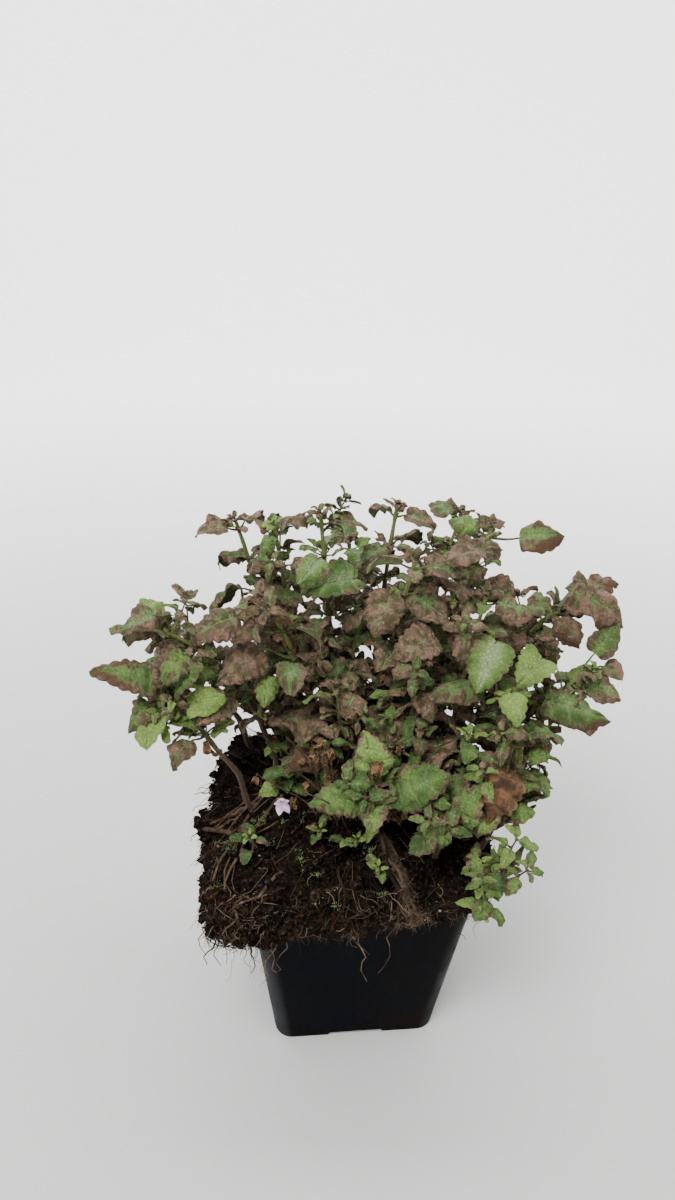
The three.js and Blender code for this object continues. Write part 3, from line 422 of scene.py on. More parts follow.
@dataclass(frozen=True)
class Bark:
    """Bare twigs of older growth: dull brown with pale scars."""

    dark: Colour = (0.035, 0.022, 0.014)
    pale: Colour = (0.085, 0.056, 0.035)
    scar: Colour = (0.2, 0.15, 0.1)

    def make(self) -> Material:
        """The twig material."""
        r = Recipe("bark")
        wide, fine = r.clouds(3, 4), r.clouds(0.5, 3)
        colour = r.blend(wide.over(0.35, 0.7), self.dark, self.pale)
        colour = r.blend(fine.over(0.6, 0.75) * 0.6, colour, self.scar)
        return r.surface(colour, 0.8 + fine * 0.15, wide * 0.5 + fine * 0.5, 0.25, Specular_IOR_Level=0.1)


@dataclass(frozen=True)
class Peat:
    """Damp black-brown peat with finer and paler crumbs."""

    black: Colour = (0.0014, 0.0011, 0.0009)
    brown: Colour = (0.0115, 0.0075, 0.0048)
    dust: Colour = (0.043, 0.03, 0.02)

    def make(self, name: str = "peat", light: float = 1.0) -> Material:
        """The peat material.

        Args:
            name: The material's name.
            light: Brightness against plain peat.

        Returns:
            The material.
        """
        r = Recipe(name)
        wide, fine, dust = r.clouds(9, 4), r.clouds(1.5, 5), r.clouds(0.45, 3)
        lit = [tuple(light * c for c in tone) for tone in (self.black, self.brown, self.dust)]
        colour = r.blend((wide * 0.5 + fine * 0.7 - 0.1).over(0.35, 0.68), lit[0], lit[1])
        colour = r.blend((dust * fine).over(0.3, 0.4) * 0.7, colour, lit[2])
        relief = fine * 0.6 + dust * 0.4 + r.cells(1.3) * 0.5
        return r.surface(colour, 0.85 + dust * 0.15, relief, 0.6, Specular_IOR_Level=0.03)


@dataclass(frozen=True)
class RootFibre:
    """Fine roots: brown to straw, dusted with peat."""

    dark: Colour = (0.014, 0.009, 0.006)
    straw: Colour = (0.125, 0.088, 0.06)

    def make(self) -> Material:
        """The root material."""
        r = Recipe("root_fibre")
        shade, _, _ = r.parts("strand_tone")
        fine = r.clouds(1.2, 3)
        colour = r.blend((shade + (fine - 0.5) * 0.7).over(0.1, 1.0), self.dark, self.straw)
        colour = r.blend(r.clouds(6, 2).over(0.5, 0.66) * 0.7, colour, self.dark)
        return r.surface(colour, 0.85 + fine * 0.1, fine, 0.1, Specular_IOR_Level=0.06)


@dataclass(frozen=True)
class Grit:
    """White perlite grains, a little dirty."""

    white: Colour = (0.62, 0.61, 0.57)
    soiled: Colour = (0.25, 0.2, 0.15)

    def make(self) -> Material:
        """The grain material."""
        r = Recipe("perlite")
        fine = r.clouds(0.7, 4)
        colour = r.blend(r.clouds(1.8, 2).over(0.45, 0.7), self.white, self.soiled)
        return r.surface(colour, 0.7 + fine * 0.2, fine + r.cells(0.4) * 0.5, 0.2)


@dataclass(frozen=True)
class Moss:
    """Moss and liverwort flecks on the peat."""

    dark: Colour = (0.02, 0.04, 0.008)
    light: Colour = (0.1, 0.16, 0.03)

    def make(self) -> Material:
        """The moss material."""
        r = Recipe("moss")
        fine = r.clouds(1.0, 3)
        colour = r.blend(fine.over(0.35, 0.65), self.dark, self.light)
        return r.surface(colour, 0.7 + fine * 0.2, fine, 0.15, Sheen_Weight=0.2)


@dataclass(frozen=True)
class PotPlastic:
    """Blue-black moulded plastic, satin, with dried dirt smeared down its faces and a painted highlight down
    its rounded corners.
    """

    base: Colour = (0.0007, 0.0009, 0.0022)
    worn: Colour = (0.0024, 0.003, 0.0052)
    painted_corner_sheen: Colour = (0.026, 0.027, 0.03)
    dirt: Colour = (0.014, 0.0105, 0.0075)
    foot_half: float = 32.5
    flare: float = 119

    def make(self) -> Material:
        """The pot material."""
        r = Recipe("pot_plastic")
        x, y, z = r.axes(r.place)
        wide, fine, speck = r.clouds(16, 4), r.clouds(2.2, 4), r.clouds(0.35, 2)
        streaks = r.clouds(3.0, 4, r.stretched(0.16))
        low = (1 - (z * 1000).over(4, 22)) * 0.6
        right = (x * 1000).over(-4, 30)
        smear = (wide * 0.55 + streaks * 0.6 + right * 0.14 + low * 0.2 - 0.55).over(0.04, 0.35)
        half = self.foot_half + z * self.flare
        corner = (abs(x) * 1000 + abs(y) * 1000 - 2 * half).over(-7.5, -3.5)
        seam = 1 - (abs(x) * 1000).over(0.25, 0.6)
        colour = r.blend(fine.over(0.52, 0.8) * 0.35, self.base, self.worn)
        # Painted highlight: streaky lighter grey down the rounded corners.
        colour = r.blend(corner * (0.55 + streaks * 0.5), colour, self.painted_corner_sheen)
        colour = r.blend(seam * 0.35, colour, self.worn)
        colour = r.blend(smear * (speck * 0.5 + 0.2), colour, self.dirt)
        roughness = 0.42 + fine * 0.14 + smear * 0.35 - corner * 0.1
        relief = fine * 0.25 + speck * 0.15 + smear * 0.5 * speck + seam * 0.4
        return r.surface(colour, roughness, relief, 0.08, Specular_IOR_Level=0.03)


@dataclass(frozen=True)
class Petal:
    """Lilac petals with darker spots on the lip."""

    lilac: Colour = (0.5, 0.27, 0.5)
    pale: Colour = (0.72, 0.55, 0.7)
    spot: Colour = (0.3, 0.08, 0.28)

    def make(self) -> Material:
        """The petal material."""
        r = Recipe("petal")
        fine = r.clouds(0.8, 3)
        colour = r.blend(r.clouds(3, 2).over(0.4, 0.6), self.lilac, self.pale)
        colour = r.blend(r.cells(0.9).over(0.1, 0.25), self.spot, colour)
        return r.surface(colour, 0.55 + fine * 0.15, fine, 0.08, Subsurface_Weight=0.1,
                         Subsurface_Radius=(0.001, 0.0006, 0.001), Sheen_Weight=0.2)


@dataclass(frozen=True)
class StudioFloor:
    """A matt pale floor, which lightens away from the middle."""

    tone: Colour = (0.46, 0.47, 0.455)
    wall: Colour = (0.95, 0.955, 0.945)

    def make(self) -> Material:
        """The floor material."""
        r = Recipe("studio_floor")
        away = r.node("ShaderNodeVectorMath", {"operation": "LENGTH"}, {0: r.place}, "Value")
        share = (away + (r.clouds(400, 2) - 0.5) * 0.05).over(0.15, 1.1)
        return r.surface(r.blend(share, self.tone, self.wall), 0.8)


@dataclass(frozen=True)
class LeafHair:
    """The short pale hairs of leaves and stems."""

    green: Colour = (0.2, 0.23, 0.13)
    straw: Colour = (0.34, 0.32, 0.24)

    def make(self) -> Material:
        """The hairs' material."""
        r = Recipe("leaf_hair")
        return r.surface(r.blend(r.clouds(5, 2), self.green, self.straw), 0.6)


class Finishes:
    """All materials of the plant and its pot, each made once."""

    def __init__(self) -> None:
        """Makes them."""
        self.plastic, self.fibre, self.bark = PotPlastic().make(), RootFibre().make(), Bark().make()
        self.peat, self.crumb = Peat().make(), Peat().make("peat_crumb", 1.5)
        self.chip = Peat(brown=(0.03, 0.014, 0.008), dust=(0.07, 0.04, 0.025)).make("peat_chip")
        self.grit, self.moss, self.petal = Grit().make(), Moss().make(), Petal().make()
        self.stem = StemSkin().make()
        self.leafy = [Foliage().make(), self.stem, LeafHair().make(), DeadLeaf().make()]


# Meshes.


class Draft:
    """Points, faces and point attributes that become one piece."""

    def __init__(self) -> None:
        """Starts empty."""
        self.points: list[Array] = []
        self.faces: list[tuple[int, ...]] = []
        self.slots: list[int] = []
        self.tones: dict[str, list[Array]] = {}
        self.count = 0

    def add(self, points: Array, faces: Sequence[Sequence[int]], slot: int = 0,
            **tones: Array | Sequence[float]) -> None:
        """Adds a part.

        Args:
            points: Rows of x, y, z in mm.
            faces: Corners by row.
            slot: Number of the part's material.
            **tones: Attributes, each one row of three or a row for each point.
        """
        for key in set(tones) | set(self.tones):
            held = self.tones.setdefault(key, [np.zeros((self.count, 3))] if self.count else [])
            given = np.asarray(tones.get(key, (0.0, 0.0, 0.0)), float)
            held.append(np.broadcast_to(given, (len(points), 3)))
        self.faces += [tuple(self.count + i for i in face) for face in faces]
        self.slots += [slot] * len(faces)
        self.points.append(np.asarray(points, float))
        self.count += len(points)

    def _object(self, name: str) -> Piece:
        """A Blender object with the mesh so far."""
        mesh = bpy.data.meshes.new(name)
        mesh.from_pydata((np.concatenate(self.points) * MM).tolist(), [], self.faces)
        for key, rows in self.tones.items():
            layer = mesh.attributes.new(key, "FLOAT_VECTOR", "POINT")
            layer.data.foreach_set("vector", np.concatenate(rows).astype(np.float32).ravel())
        mesh.polygons.foreach_set("material_index", self.slots)
        made = bpy.data.objects.new(name, mesh)
        bpy.context.scene.collection.objects.link(made)
        return made

    @staticmethod
    def _carve(made: Piece, tool: Piece, operation: str) -> None:
        """Joins a tool to an object or cuts it away, and removes the tool."""
        step = made.modifiers.new("carve", "BOOLEAN")
        step.operation, step.object, step.solver, step.use_self = operation, tool, "EXACT", True
        shape = made.evaluated_get(bpy.context.evaluated_depsgraph_get())
        mesh = bpy.data.meshes.new_from_object(shape)
        made.modifiers.clear()
        made.data = mesh
        bpy.data.objects.remove(tool)

    def piece(self, name: str, materials: Sequence[Material], slot: str,
              replaces: Sequence[str] = (), crease: float = 55.0, cut: "Draft | None" = None,
              join: "Draft | None" = None) -> None:
        """Makes the piece, which rides on the root body.

        Args:
            name: The piece's name.
            materials: Its materials in the order of their numbers.
            slot: The record's slot for the piece; it is not used.
            replaces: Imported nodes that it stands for.
            crease: Angle in degrees above which an edge stays sharp.
            cut: What is cut away.
            join: What is joined on before the cut.
        """
        made = self._object(name)
        for other, operation in ((join, "UNION"), (cut, "DIFFERENCE")):
            if other is not None:
                self._carve(made, other._object("tool"), operation)
        mesh = made.data
        mesh.polygons.foreach_set("use_smooth", [True] * len(mesh.polygons))
        for material in materials:
            mesh.materials.append(material)
        mesh.update()
        mesh.set_sharp_from_angle(angle=math.radians(crease))
        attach(made, "root")
        if replaces:
            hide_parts(*replaces)
        LOG.info("%s: %d triangles", name, sum(len(face.vertices) - 2 for face in mesh.polygons))


def loft(rings: Sequence[Array]) -> Shape:
    """A closed skin over rings, each listed anticlockwise as seen from the last one.

    Args:
        rings: Rings with the same number of points.

    Returns:
        Points and faces.
    """
    count = len(rings[0])
    faces = []
    for k in range(len(rings) - 1):
        for i in range(count):
            j = (i + 1) % count
            faces.append((k * count + i, k * count + j, (k + 1) * count + j, (k + 1) * count + i))
    top, first = (len(rings) - 1) * count, len(rings) * count
    for i in range(count):
        j = (i + 1) % count
        faces += [(first, j, i), (first + 1, top + i, top + j)]
    return np.concatenate([*rings, [rings[0].mean(0), rings[-1].mean(0)]]), faces


def frames(path: Array, first: Array | None = None) -> tuple[Array, Array]:
    """Two directions across a path at each point, carried along without a twist.

    Args:
        path: Points.
        first: The first direction to start from, if it matters.

    Returns:
        The first and second directions, a row for each point.
    """
    ahead = np.gradient(path, axis=0)
    ahead /= np.linalg.norm(ahead, axis=1)[:, None]
    side = first if first is not None else (UP if abs(ahead[0][2]) < 0.8 else np.array([1.0, 0, 0]))
    sides = []
    for way in ahead:
        side = unit(side - way * float(way @ side))
        sides.append(side)
    return np.array(sides), np.cross(ahead, np.array(sides))


def tube(path: Array, radii: Array, sides: int, first: Array | None = None,
         squareness: float = 2.0) -> Shape:
    """A closed tube along a path.

    Args:
        path: Points.
        radii: The radius at each point.
        sides: Number of sides.
        first: Direction of the first corner at the start.
        squareness: 2 for round, and below for a square with its corners on the first direction.

    Returns:
        Points and faces.
    """
    a, b = frames(path, first)
    angles = 2 * math.pi * np.arange(sides) / sides
    c, s = np.cos(angles), np.sin(angles)
    reach = (np.abs(c) ** squareness + np.abs(s) ** squareness) ** (-1 / squareness)
    rings = path[:, None] + radii[:, None, None] * reach[None, :, None] * (
        a[:, None] * c[None, :, None] + b[:, None] * s[None, :, None])
    return loft(list(rings))


def lumpy_ball(centre: Array, size: Array, random: Draws, rows: int) -> Shape:
    """A small uneven crumb.

    Args:
        centre: Its middle.
        size: Its three half sizes.
        random: Draws for its shape.
        rows: Rings of the ball.

    Returns:
        Points and faces.
    """
    count = rows + 2
    rings = []
    for k in range(1, rows + 1):
        tilt = math.pi * k / (rows + 1)
        ring = [(level(2 * math.pi * (i + 0.5 * (k % 2)) / count) * math.sin(tilt) - UP * math.cos(tilt))
                * random.between(0.7, 1.25) for i in range(count)]
        rings.append(np.array(ring))
    points, faces = loft(rings)
    turn, lean = random() * ANY_TURN, random.between(-0.8, 0.8)
    spin = np.array(Matrix.Rotation(turn, 3, "Z") @ Matrix.Rotation(lean, 3, "X"))
    return centre + (points * size) @ spin.T, faces


# The leafy stems' plan: the same driving dimensions and rules as the solids.


class Tint(Enum):
    """How a leaf is coloured: shares of silver, mauve, dry edge, yellow and how bright the green is."""

    FRESH = (0.15, 0.36, 0.2, 0.0, 0.64)
    SILVER = (0.9, 0.32, 0.15, 0.0, 0.6)
    GREY = (0.5, 0.72, 0.25, 0.0, 0.45)
    MAUVE = (0.5, 0.8, 0.3, 0.0, 0.42)
    BRONZE = (0.1, 0.86, 0.6, 0.05, 0.4)
    TIPPED = (0.3, 0.48, 1.0, 0.05, 0.55)
    PALE = (0.15, 0.1, 0.12, 0.2, 0.85)
    RED = (0.0, 1.5, 0.2, 0.0, 0.2)
    DEEP = (0.2, 0.35, 0.1, 0.0, 0.28)
    BLOTCHED = (0.1, 0.3, 0.3, 0.05, 0.72)
    MOTTLED = (0.3, 0.68, 0.4, 0.0, 0.5)
    DRY = (0.1, 1.05, 1.1, 0.0, 0.3)
    WITHERED = (0.0, 0.0, 0.0, 0.0, 0.0)


FRESH, SILVER, GREY, MAUVE, BRONZE, TIPPED, PALE, RED, DEEP, BLOTCHED, MOTTLED, DRY, WITHERED = Tint


@dataclass(frozen=True)
class StemSize:
    """Measures that all stems of a kind share, in mm."""

    foot: float
    tip: float
    plain: int
    node: float = 1.6
    minors: bool = True


LEAFY = StemSize(1.6, 0.85, 2)
SHOOT = StemSize(1.0, 0.7, 2, 1.4, False)


@dataclass(frozen=True)
class OwnLeaf:
    """A leaf that stands out: place along the stem, blade's base and tip, width, droop and tint."""

    at: float
    base: Spot
    tip: Spot
    width: float
    droop: float
    tint: Tint = FRESH


@dataclass(frozen=True)
class StemPlan:
    """One leafy stem as it was laid out."""

    path: tuple[Spot, ...]
    pairs: int
    start: float
    leaf: Span
    lift: float
    own: tuple[OwnLeaf, ...] = ()
    tints: tuple[Tint, ...] = (FRESH,)


LEAF_THICK, LEAF_RATIO, LEAF_FOLD, LEAF_DROOP = 0.9, 0.72, 0.28, 0.7
LEAF_WAVE, LEAF_OUTWARD, LEAF_MINOR, LEAF_SHRINK, LEAF_TRIES = 0.035, 0.008, 0.5, 0.03, 18
LEAF_FOUND = 2e-5  # How near a packed point has to be, in metres.
LARGE_LEAF, MIDDLE_LEAF, SMALL_LEAF, LEAFLET_THICK = 16.5, 10.5, 8.0, 0.3

LEAFY_STEMS: tuple[StemPlan, ...] = (
    StemPlan(((-37, -5, 84), (-41, -8, 112), (-55, 0, 134), (-74, 2, 147)), 4, 0.66, (15.6, 13.6), 0.1, (
        OwnLeaf(1, (-73, 1, 153), (-95, -2, 162), 15, 0.3, TIPPED),
        OwnLeaf(0.98, (-76, -1, 145), (-84, -4, 134), 11, 1.3, BRONZE),
        OwnLeaf(0.62, (-59, -5, 137), (-66, -6, 140), 5.5, 0.2),
        OwnLeaf(0.62, (-53, -1, 134), (-46, -3, 138), 5, 0.3),
        OwnLeaf(0.8, (-63, -2, 144), (-49, -5, 151), 12, 0.4, PALE),
        OwnLeaf(0.97, (-70, 0, 151), (-75, -2, 162), 9, 0.3, GREY),
        OwnLeaf(0.9, (-66, -1, 152), (-56, -4, 163), 10, 0.4),
    ), (FRESH, PALE, MOTTLED)),
    StemPlan(((-27, 14, 84), (-31, 14, 128), (-48, 10, 156), (-70, 5, 172)), 5, 0.4, (19.4, 14.7), 0.05, (
        OwnLeaf(1, (-73, 4, 178), (-87, 0, 174), 11, 0.5, GREY),
        OwnLeaf(0.72, (-44, 6, 176), (-62, 0, 171), 14, 0.5, MOTTLED),
    ), (FRESH, GREY, MOTTLED)),
    StemPlan(((-8, 4, 84), (-12, 9, 124), (-17, 5, 152), (-35, 0, 186)), 5, 0.5, (18.5, 11.3), 0.05, (
        OwnLeaf(0.72, (-36, 5, 163), (-52, -4, 154), 15, 0.5, MAUVE),
        OwnLeaf(0.55, (-34, 2, 153), (-35, -7, 146), 9, 0.3),
    ), (MAUVE, GREY, RED, DRY)),
    StemPlan(((6, 14, 84), (0, 13, 126), (-14, 14, 148), (-34, 17, 176)), 5, 0.45, (18.5, 14.7), 0, (
        OwnLeaf(0.5, (-4, -1, 150), (-12, -9, 142), 11, 0.5, MAUVE),
    ), (MOTTLED, GREY, MAUVE)),
    StemPlan(((-22, 30, 84), (-26, 36, 130), (-34, 40, 165), (-44, 44, 196)), 6, 0.34, (21.4, 13.6), 0,
             tints=(FRESH, GREY, MAUVE, MOTTLED)),
    StemPlan(((-33, 27, 84), (-46, 36, 118), (-62, 44, 138), (-80, 48, 150)), 5, 0.4, (20.4, 15.8), 0.05,
             tints=(FRESH, GREY, BRONZE, MOTTLED)),
    StemPlan(((-4, 26, 84), (-6, 26, 130), (-10, 22, 170), (-14, 18, 209)), 7, 0.32, (21.4, 13.6), 0, (
        OwnLeaf(0.78, (-1, 14, 186), (-22, 6, 185), 15, 0.5, SILVER),
    ), (MOTTLED, SILVER, GREY, MAUVE)),
    StemPlan(((12, 18, 84), (12, 16, 130), (12, 10, 165), (18, 4, 197)), 6, 0.4, (21.4, 14.7), -0.05, (
        OwnLeaf(0.86, (18, 6, 183), (33, -1, 174), 14.5, 0.5, MAUVE),
        OwnLeaf(0.8, (10, 2, 186), (3, -7, 173), 13.5, 0.6, MAUVE),
    ), (GREY, MAUVE, MOTTLED, BRONZE)),
    StemPlan(((15, -3, 84), (18, -5, 112), (18, -7, 135), (20, -5, 166)), 5, 0.4, (17.5, 13.6), 0, (
        OwnLeaf(0.96, (25, -5, 172), (9, -11, 168), 13.5, 0.4, GREY),
    ), (MAUVE, GREY, BRONZE, DEEP)),
    StemPlan(((5, -24, 84), (4, -26, 106), (3, -30, 118), (3, -32, 128)), 2, 0.86, (10.2, 7.9), 0.6, (
        OwnLeaf(0.97, (2, -31, 132), (-1, -26, 148), 13.5, 0.3, BLOTCHED),
        OwnLeaf(0.95, (9, -33, 126), (27, -36, 136), 16, 0.4),
        OwnLeaf(0.93, (-2, -33, 126), (-21, -37, 128), 14, 0.4, BLOTCHED),
        OwnLeaf(0.9, (2, -37, 125), (-1, -47, 121), 8.5, 0.5, BLOTCHED),
    ), (FRESH, DEEP)),
    StemPlan(((30, -4, 84), (34, -4, 120), (38, 2, 150), (44, 2, 184)), 6, 0.42, (19.4, 15.8), -0.05, (
        OwnLeaf(0.78, (46, -9, 172), (37, -23, 160), 16, 0.5, SILVER),
        OwnLeaf(0.6, (41, -12, 155), (22, -21, 160), 11, 0.4, DEEP),
    ), (FRESH, GREY, MAUVE, MOTTLED)),
    StemPlan(((24, 12, 84), (28, 14, 130), (36, 14, 170), (46, 12, 206)), 7, 0.34, (21.4, 14.7), 0, (
        OwnLeaf(0.9, (41, 10, 200), (27, 4, 196), 12.5, 0.4, MOTTLED),
        OwnLeaf(0.96, (56, 10, 203), (71, 6, 206), 12.5, 0.5, TIPPED),
    ), (FRESH, GREY, BRONZE, SILVER, MOTTLED)),
    StemPlan(((34, 16, 84), (44, 18, 124), (58, 14, 160), (82, 8, 182)), 6, 0.4, (21.4, 15.8), 0, (
        OwnLeaf(0.92, (76, 6, 184), (99, 0, 172), 15, 0.5, BRONZE),
    ), (GREY, MOTTLED, BRONZE, MAUVE, DRY)),
    StemPlan(((31, -36, 84), (42, -42, 112), (62, -32, 138), (49, -22, 156)), 4, 0.44, (15.8, 12.4), 0.1, (
        OwnLeaf(0.7, (55, -30, 138), (62, -32, 142), 7, 0.3),
        OwnLeaf(0.55, (53, -34, 129), (60, -36, 133), 7.5, 0.3),
        OwnLeaf(0.42, (50, -38, 119), (58, -40, 121), 8, 0.4),
        OwnLeaf(0.72, (47, -36, 137), (39, -45, 118), 15, 0.9, WITHERED),
        OwnLeaf(0.9, (48, -27, 162), (49, -37, 156), 9, 0.5, PALE),
    ), (FRESH, MOTTLED, DEEP)),
    StemPlan(((37, 0, 84), (50, 0, 118), (64, -4, 142), (84, -6, 156)), 5, 0.45, (17.5, 14.7), 0.1, (
        OwnLeaf(0.95, (85, -4, 163), (94, 0, 173), 11, 0.3),
        OwnLeaf(1, (88, -6, 159), (98, -9, 157), 8.5, 0.5, MOTTLED),
        OwnLeaf(0.93, (82, -9, 153), (95, -14, 148), 11.5, 0.5, TIPPED),
        OwnLeaf(0.7, (66, -12, 149), (89, -20, 144), 14, 0.4, TIPPED),
        OwnLeaf(0.72, (64, -8, 164), (52, -20, 161), 13.5, 0.5, PALE),
    ), (FRESH, MOTTLED, TIPPED)),
    StemPlan(((18, 31, 84), (24, 38, 130), (34, 44, 165), (44, 48, 196)), 6, 0.34, (21.4, 13.6), 0,
             tints=(FRESH, GREY, MAUVE)),
    StemPlan(((37, 30, 84), (52, 38, 116), (66, 44, 138), (84, 46, 150)), 5, 0.4, (20.4, 15.8), 0.05,
             tints=(FRESH, GREY, BRONZE)),
    StemPlan(((1, 37, 84), (0, 50, 120), (0, 58, 150), (2, 62, 178)), 5, 0.36, (20.4, 14.7), 0,
             tints=(FRESH, DEEP, MAUVE)),
    StemPlan(((24, -32, 84), (26, -34, 100), (27, -38, 110), (28, -40, 118)), 1, 0.95, (9, 9), 0.5, (
        OwnLeaf(0.95, (31, -41, 120), (37, -39, 133), 11, 0.3),
        OwnLeaf(0.9, (27, -43, 117), (17, -47, 121), 9, 0.4),
        OwnLeaf(0.75, (22, -42, 113), (13, -49, 117), 9, 0.4, DEEP),
    ), (FRESH, DEEP)),
    StemPlan(((35, -27, 84), (46, -37, 106), (47, -49, 105), (38, -56, 94)), 2, 0.6, (7.9, 7.9), -0.2, (
        OwnLeaf(0.62, (42, -51, 105), (43, -58, 98), 7, 0.5, DEEP),
        OwnLeaf(0.85, (39, -57, 98), (34, -61, 92), 7.5, 0.6),
        OwnLeaf(0.45, (46, -44, 105), (52, -45, 100), 6, 0.6),
    ), (FRESH, PALE)),
    StemPlan(((27, -13, 84), (30, -18, 108), (33, -20, 124), (37, -21, 140)), 5, 0.42, (14, 10.5), 0.1,
             tints=(FRESH, MOTTLED, DEEP)),
    StemPlan(((16, -12, 84), (17, -14, 106), (18, -15, 122), (20, -14, 138)), 4, 0.5, (14, 10.5), 0.1,
             tints=(FRESH, BRONZE, DEEP, MAUVE)),
    StemPlan(((35.5, -10.5, 84), (44, -14, 104), (54, -20, 118), (60, -22, 133)), 4, 0.5, (13, 10.5), 0.1,
             tints=(FRESH, BLOTCHED, TIPPED)),
    StemPlan(((-8, -3, 84), (-7, -4, 110), (-6, -5, 132), (-9, -6, 152)), 5, 0.5, (15, 11.5), 0,
             tints=(MAUVE, DEEP, MOTTLED, FRESH, DRY)),
    StemPlan(((8, 31, 84), (10, 34, 130), (12, 36, 170), (16, 36, 204)), 5, 0.5, (16.5, 12), 0,
             tints=(MOTTLED, MAUVE, GREY)),
    StemPlan(((-18, 18, 84), (-20, 24, 130), (-24, 27, 166), (-30, 29, 200)), 5, 0.5, (16.5, 12), 0,
             tints=(MOTTLED, BRONZE, FRESH)),
)

# Young shoots low on the soil: foot, tip, longest leaf and pairs.
SHOOTS = (
    ((-25, 3, 87), (-26, 0, 109), 10, 3),
    ((-4, -26, 88), (-3, -31, 103), 8, 2),
    ((3, -38, 88), (3, -44, 102), 7, 2),
    ((-37, -24, 88), (-41, -27, 103), 6.8, 2),
    ((-15, -21, 88), (-16, -25, 103), 7, 2),
)

# Bare twigs: foot, middle and tip.
TWIGS = (
    ((38, -17, 86), (50, -28, 104), (60, -34, 119)),
    ((-3, -9, 86), (-4, -10, 112), (-9, -12, 136)),
    ((10, -13, 86), (13, -14, 112), (11, -20, 139)),
    ((22, -19, 86), (27, -19, 110), (31, -25, 133)),
    ((-17, 12, 86), (-24, 14, 112), (-25, 20, 140)),
    ((-38, -15, 87), (-44, -17, 98), (-58, -22, 104)),
)


@dataclass
class Face:
    """One side of a stem's node, from which a stalk grows."""

    middle: Array
    out: Array


@dataclass
class StemNode:
    """A node of a stem: its ring, its way along the stem, its share of the leafy stretch and its faces."""

    ring: int
    at: float
    along: Array
    share: float
    faces: list[Face]


@dataclass
class Leaf:
    """How a leaf sits: face, blade's base, its three directions, and the measures of its form."""

    face: Face
    base: Array
    x: Array
    y: Array
    z: Array
    length: float
    width: float
    droop: float
    fold: float
    phase: float

    def at(self, u: Array, v: Array, h: Array, soft: float = 0.0) -> Array:
        """Points of the blade.

        Args:
            u: Share of the length.
            v: Share of the width, from -0.5 to 0.5.
            h: Height over the blade's middle face.
            soft: How far the fold along the midrib is rounded, as a share of the width.

        Returns:
            A row for each point.
        """
        bend = self.droop * u
        ahead = self.length * np.sin(bend) / self.droop
        down = self.length * (1 - np.cos(bend)) / self.droop
        reach, round_off = v * self.width, soft * self.width
        climb = (np.sqrt(reach**2 + round_off**2) - round_off) * math.sin(self.fold) + h
        wave = np.sin(9 * u + self.phase + np.where(v > 0, 0, 2))
        climb = climb + LEAF_WAVE * self.length * 4 * v * v * wave
        return (self.base + np.multiply.outer(ahead + climb * np.sin(bend), self.x)
                + np.multiply.outer(reach * math.cos(self.fold), self.y)
                + np.multiply.outer(climb * np.cos(bend) - down, self.z))

    @staticmethod
    def held(face: Face, base: Array, along: Array, upper: Array, *form: float) -> "Leaf":
        """A leaf from the way it points and its upper side.

        Args:
            face: Face of the stem that it grows from.
            base: The blade's base.
            along: The way it points.
            upper: Its upper side, roughly.
            *form: Length, width, droop, fold and phase.

        Returns:
            The leaf.
        """
        x = unit(along)
        z = unit(upper - x * float(upper @ x))
        return Leaf(face, base, x, np.cross(z, x), z, *form)


def turned(random: Draws, attempt: int, spread: float) -> float:
    """The next turn of an attempt, wider in later ones."""
    return spread * (random() - 0.5) * min(1, 0.3 + attempt / 6)


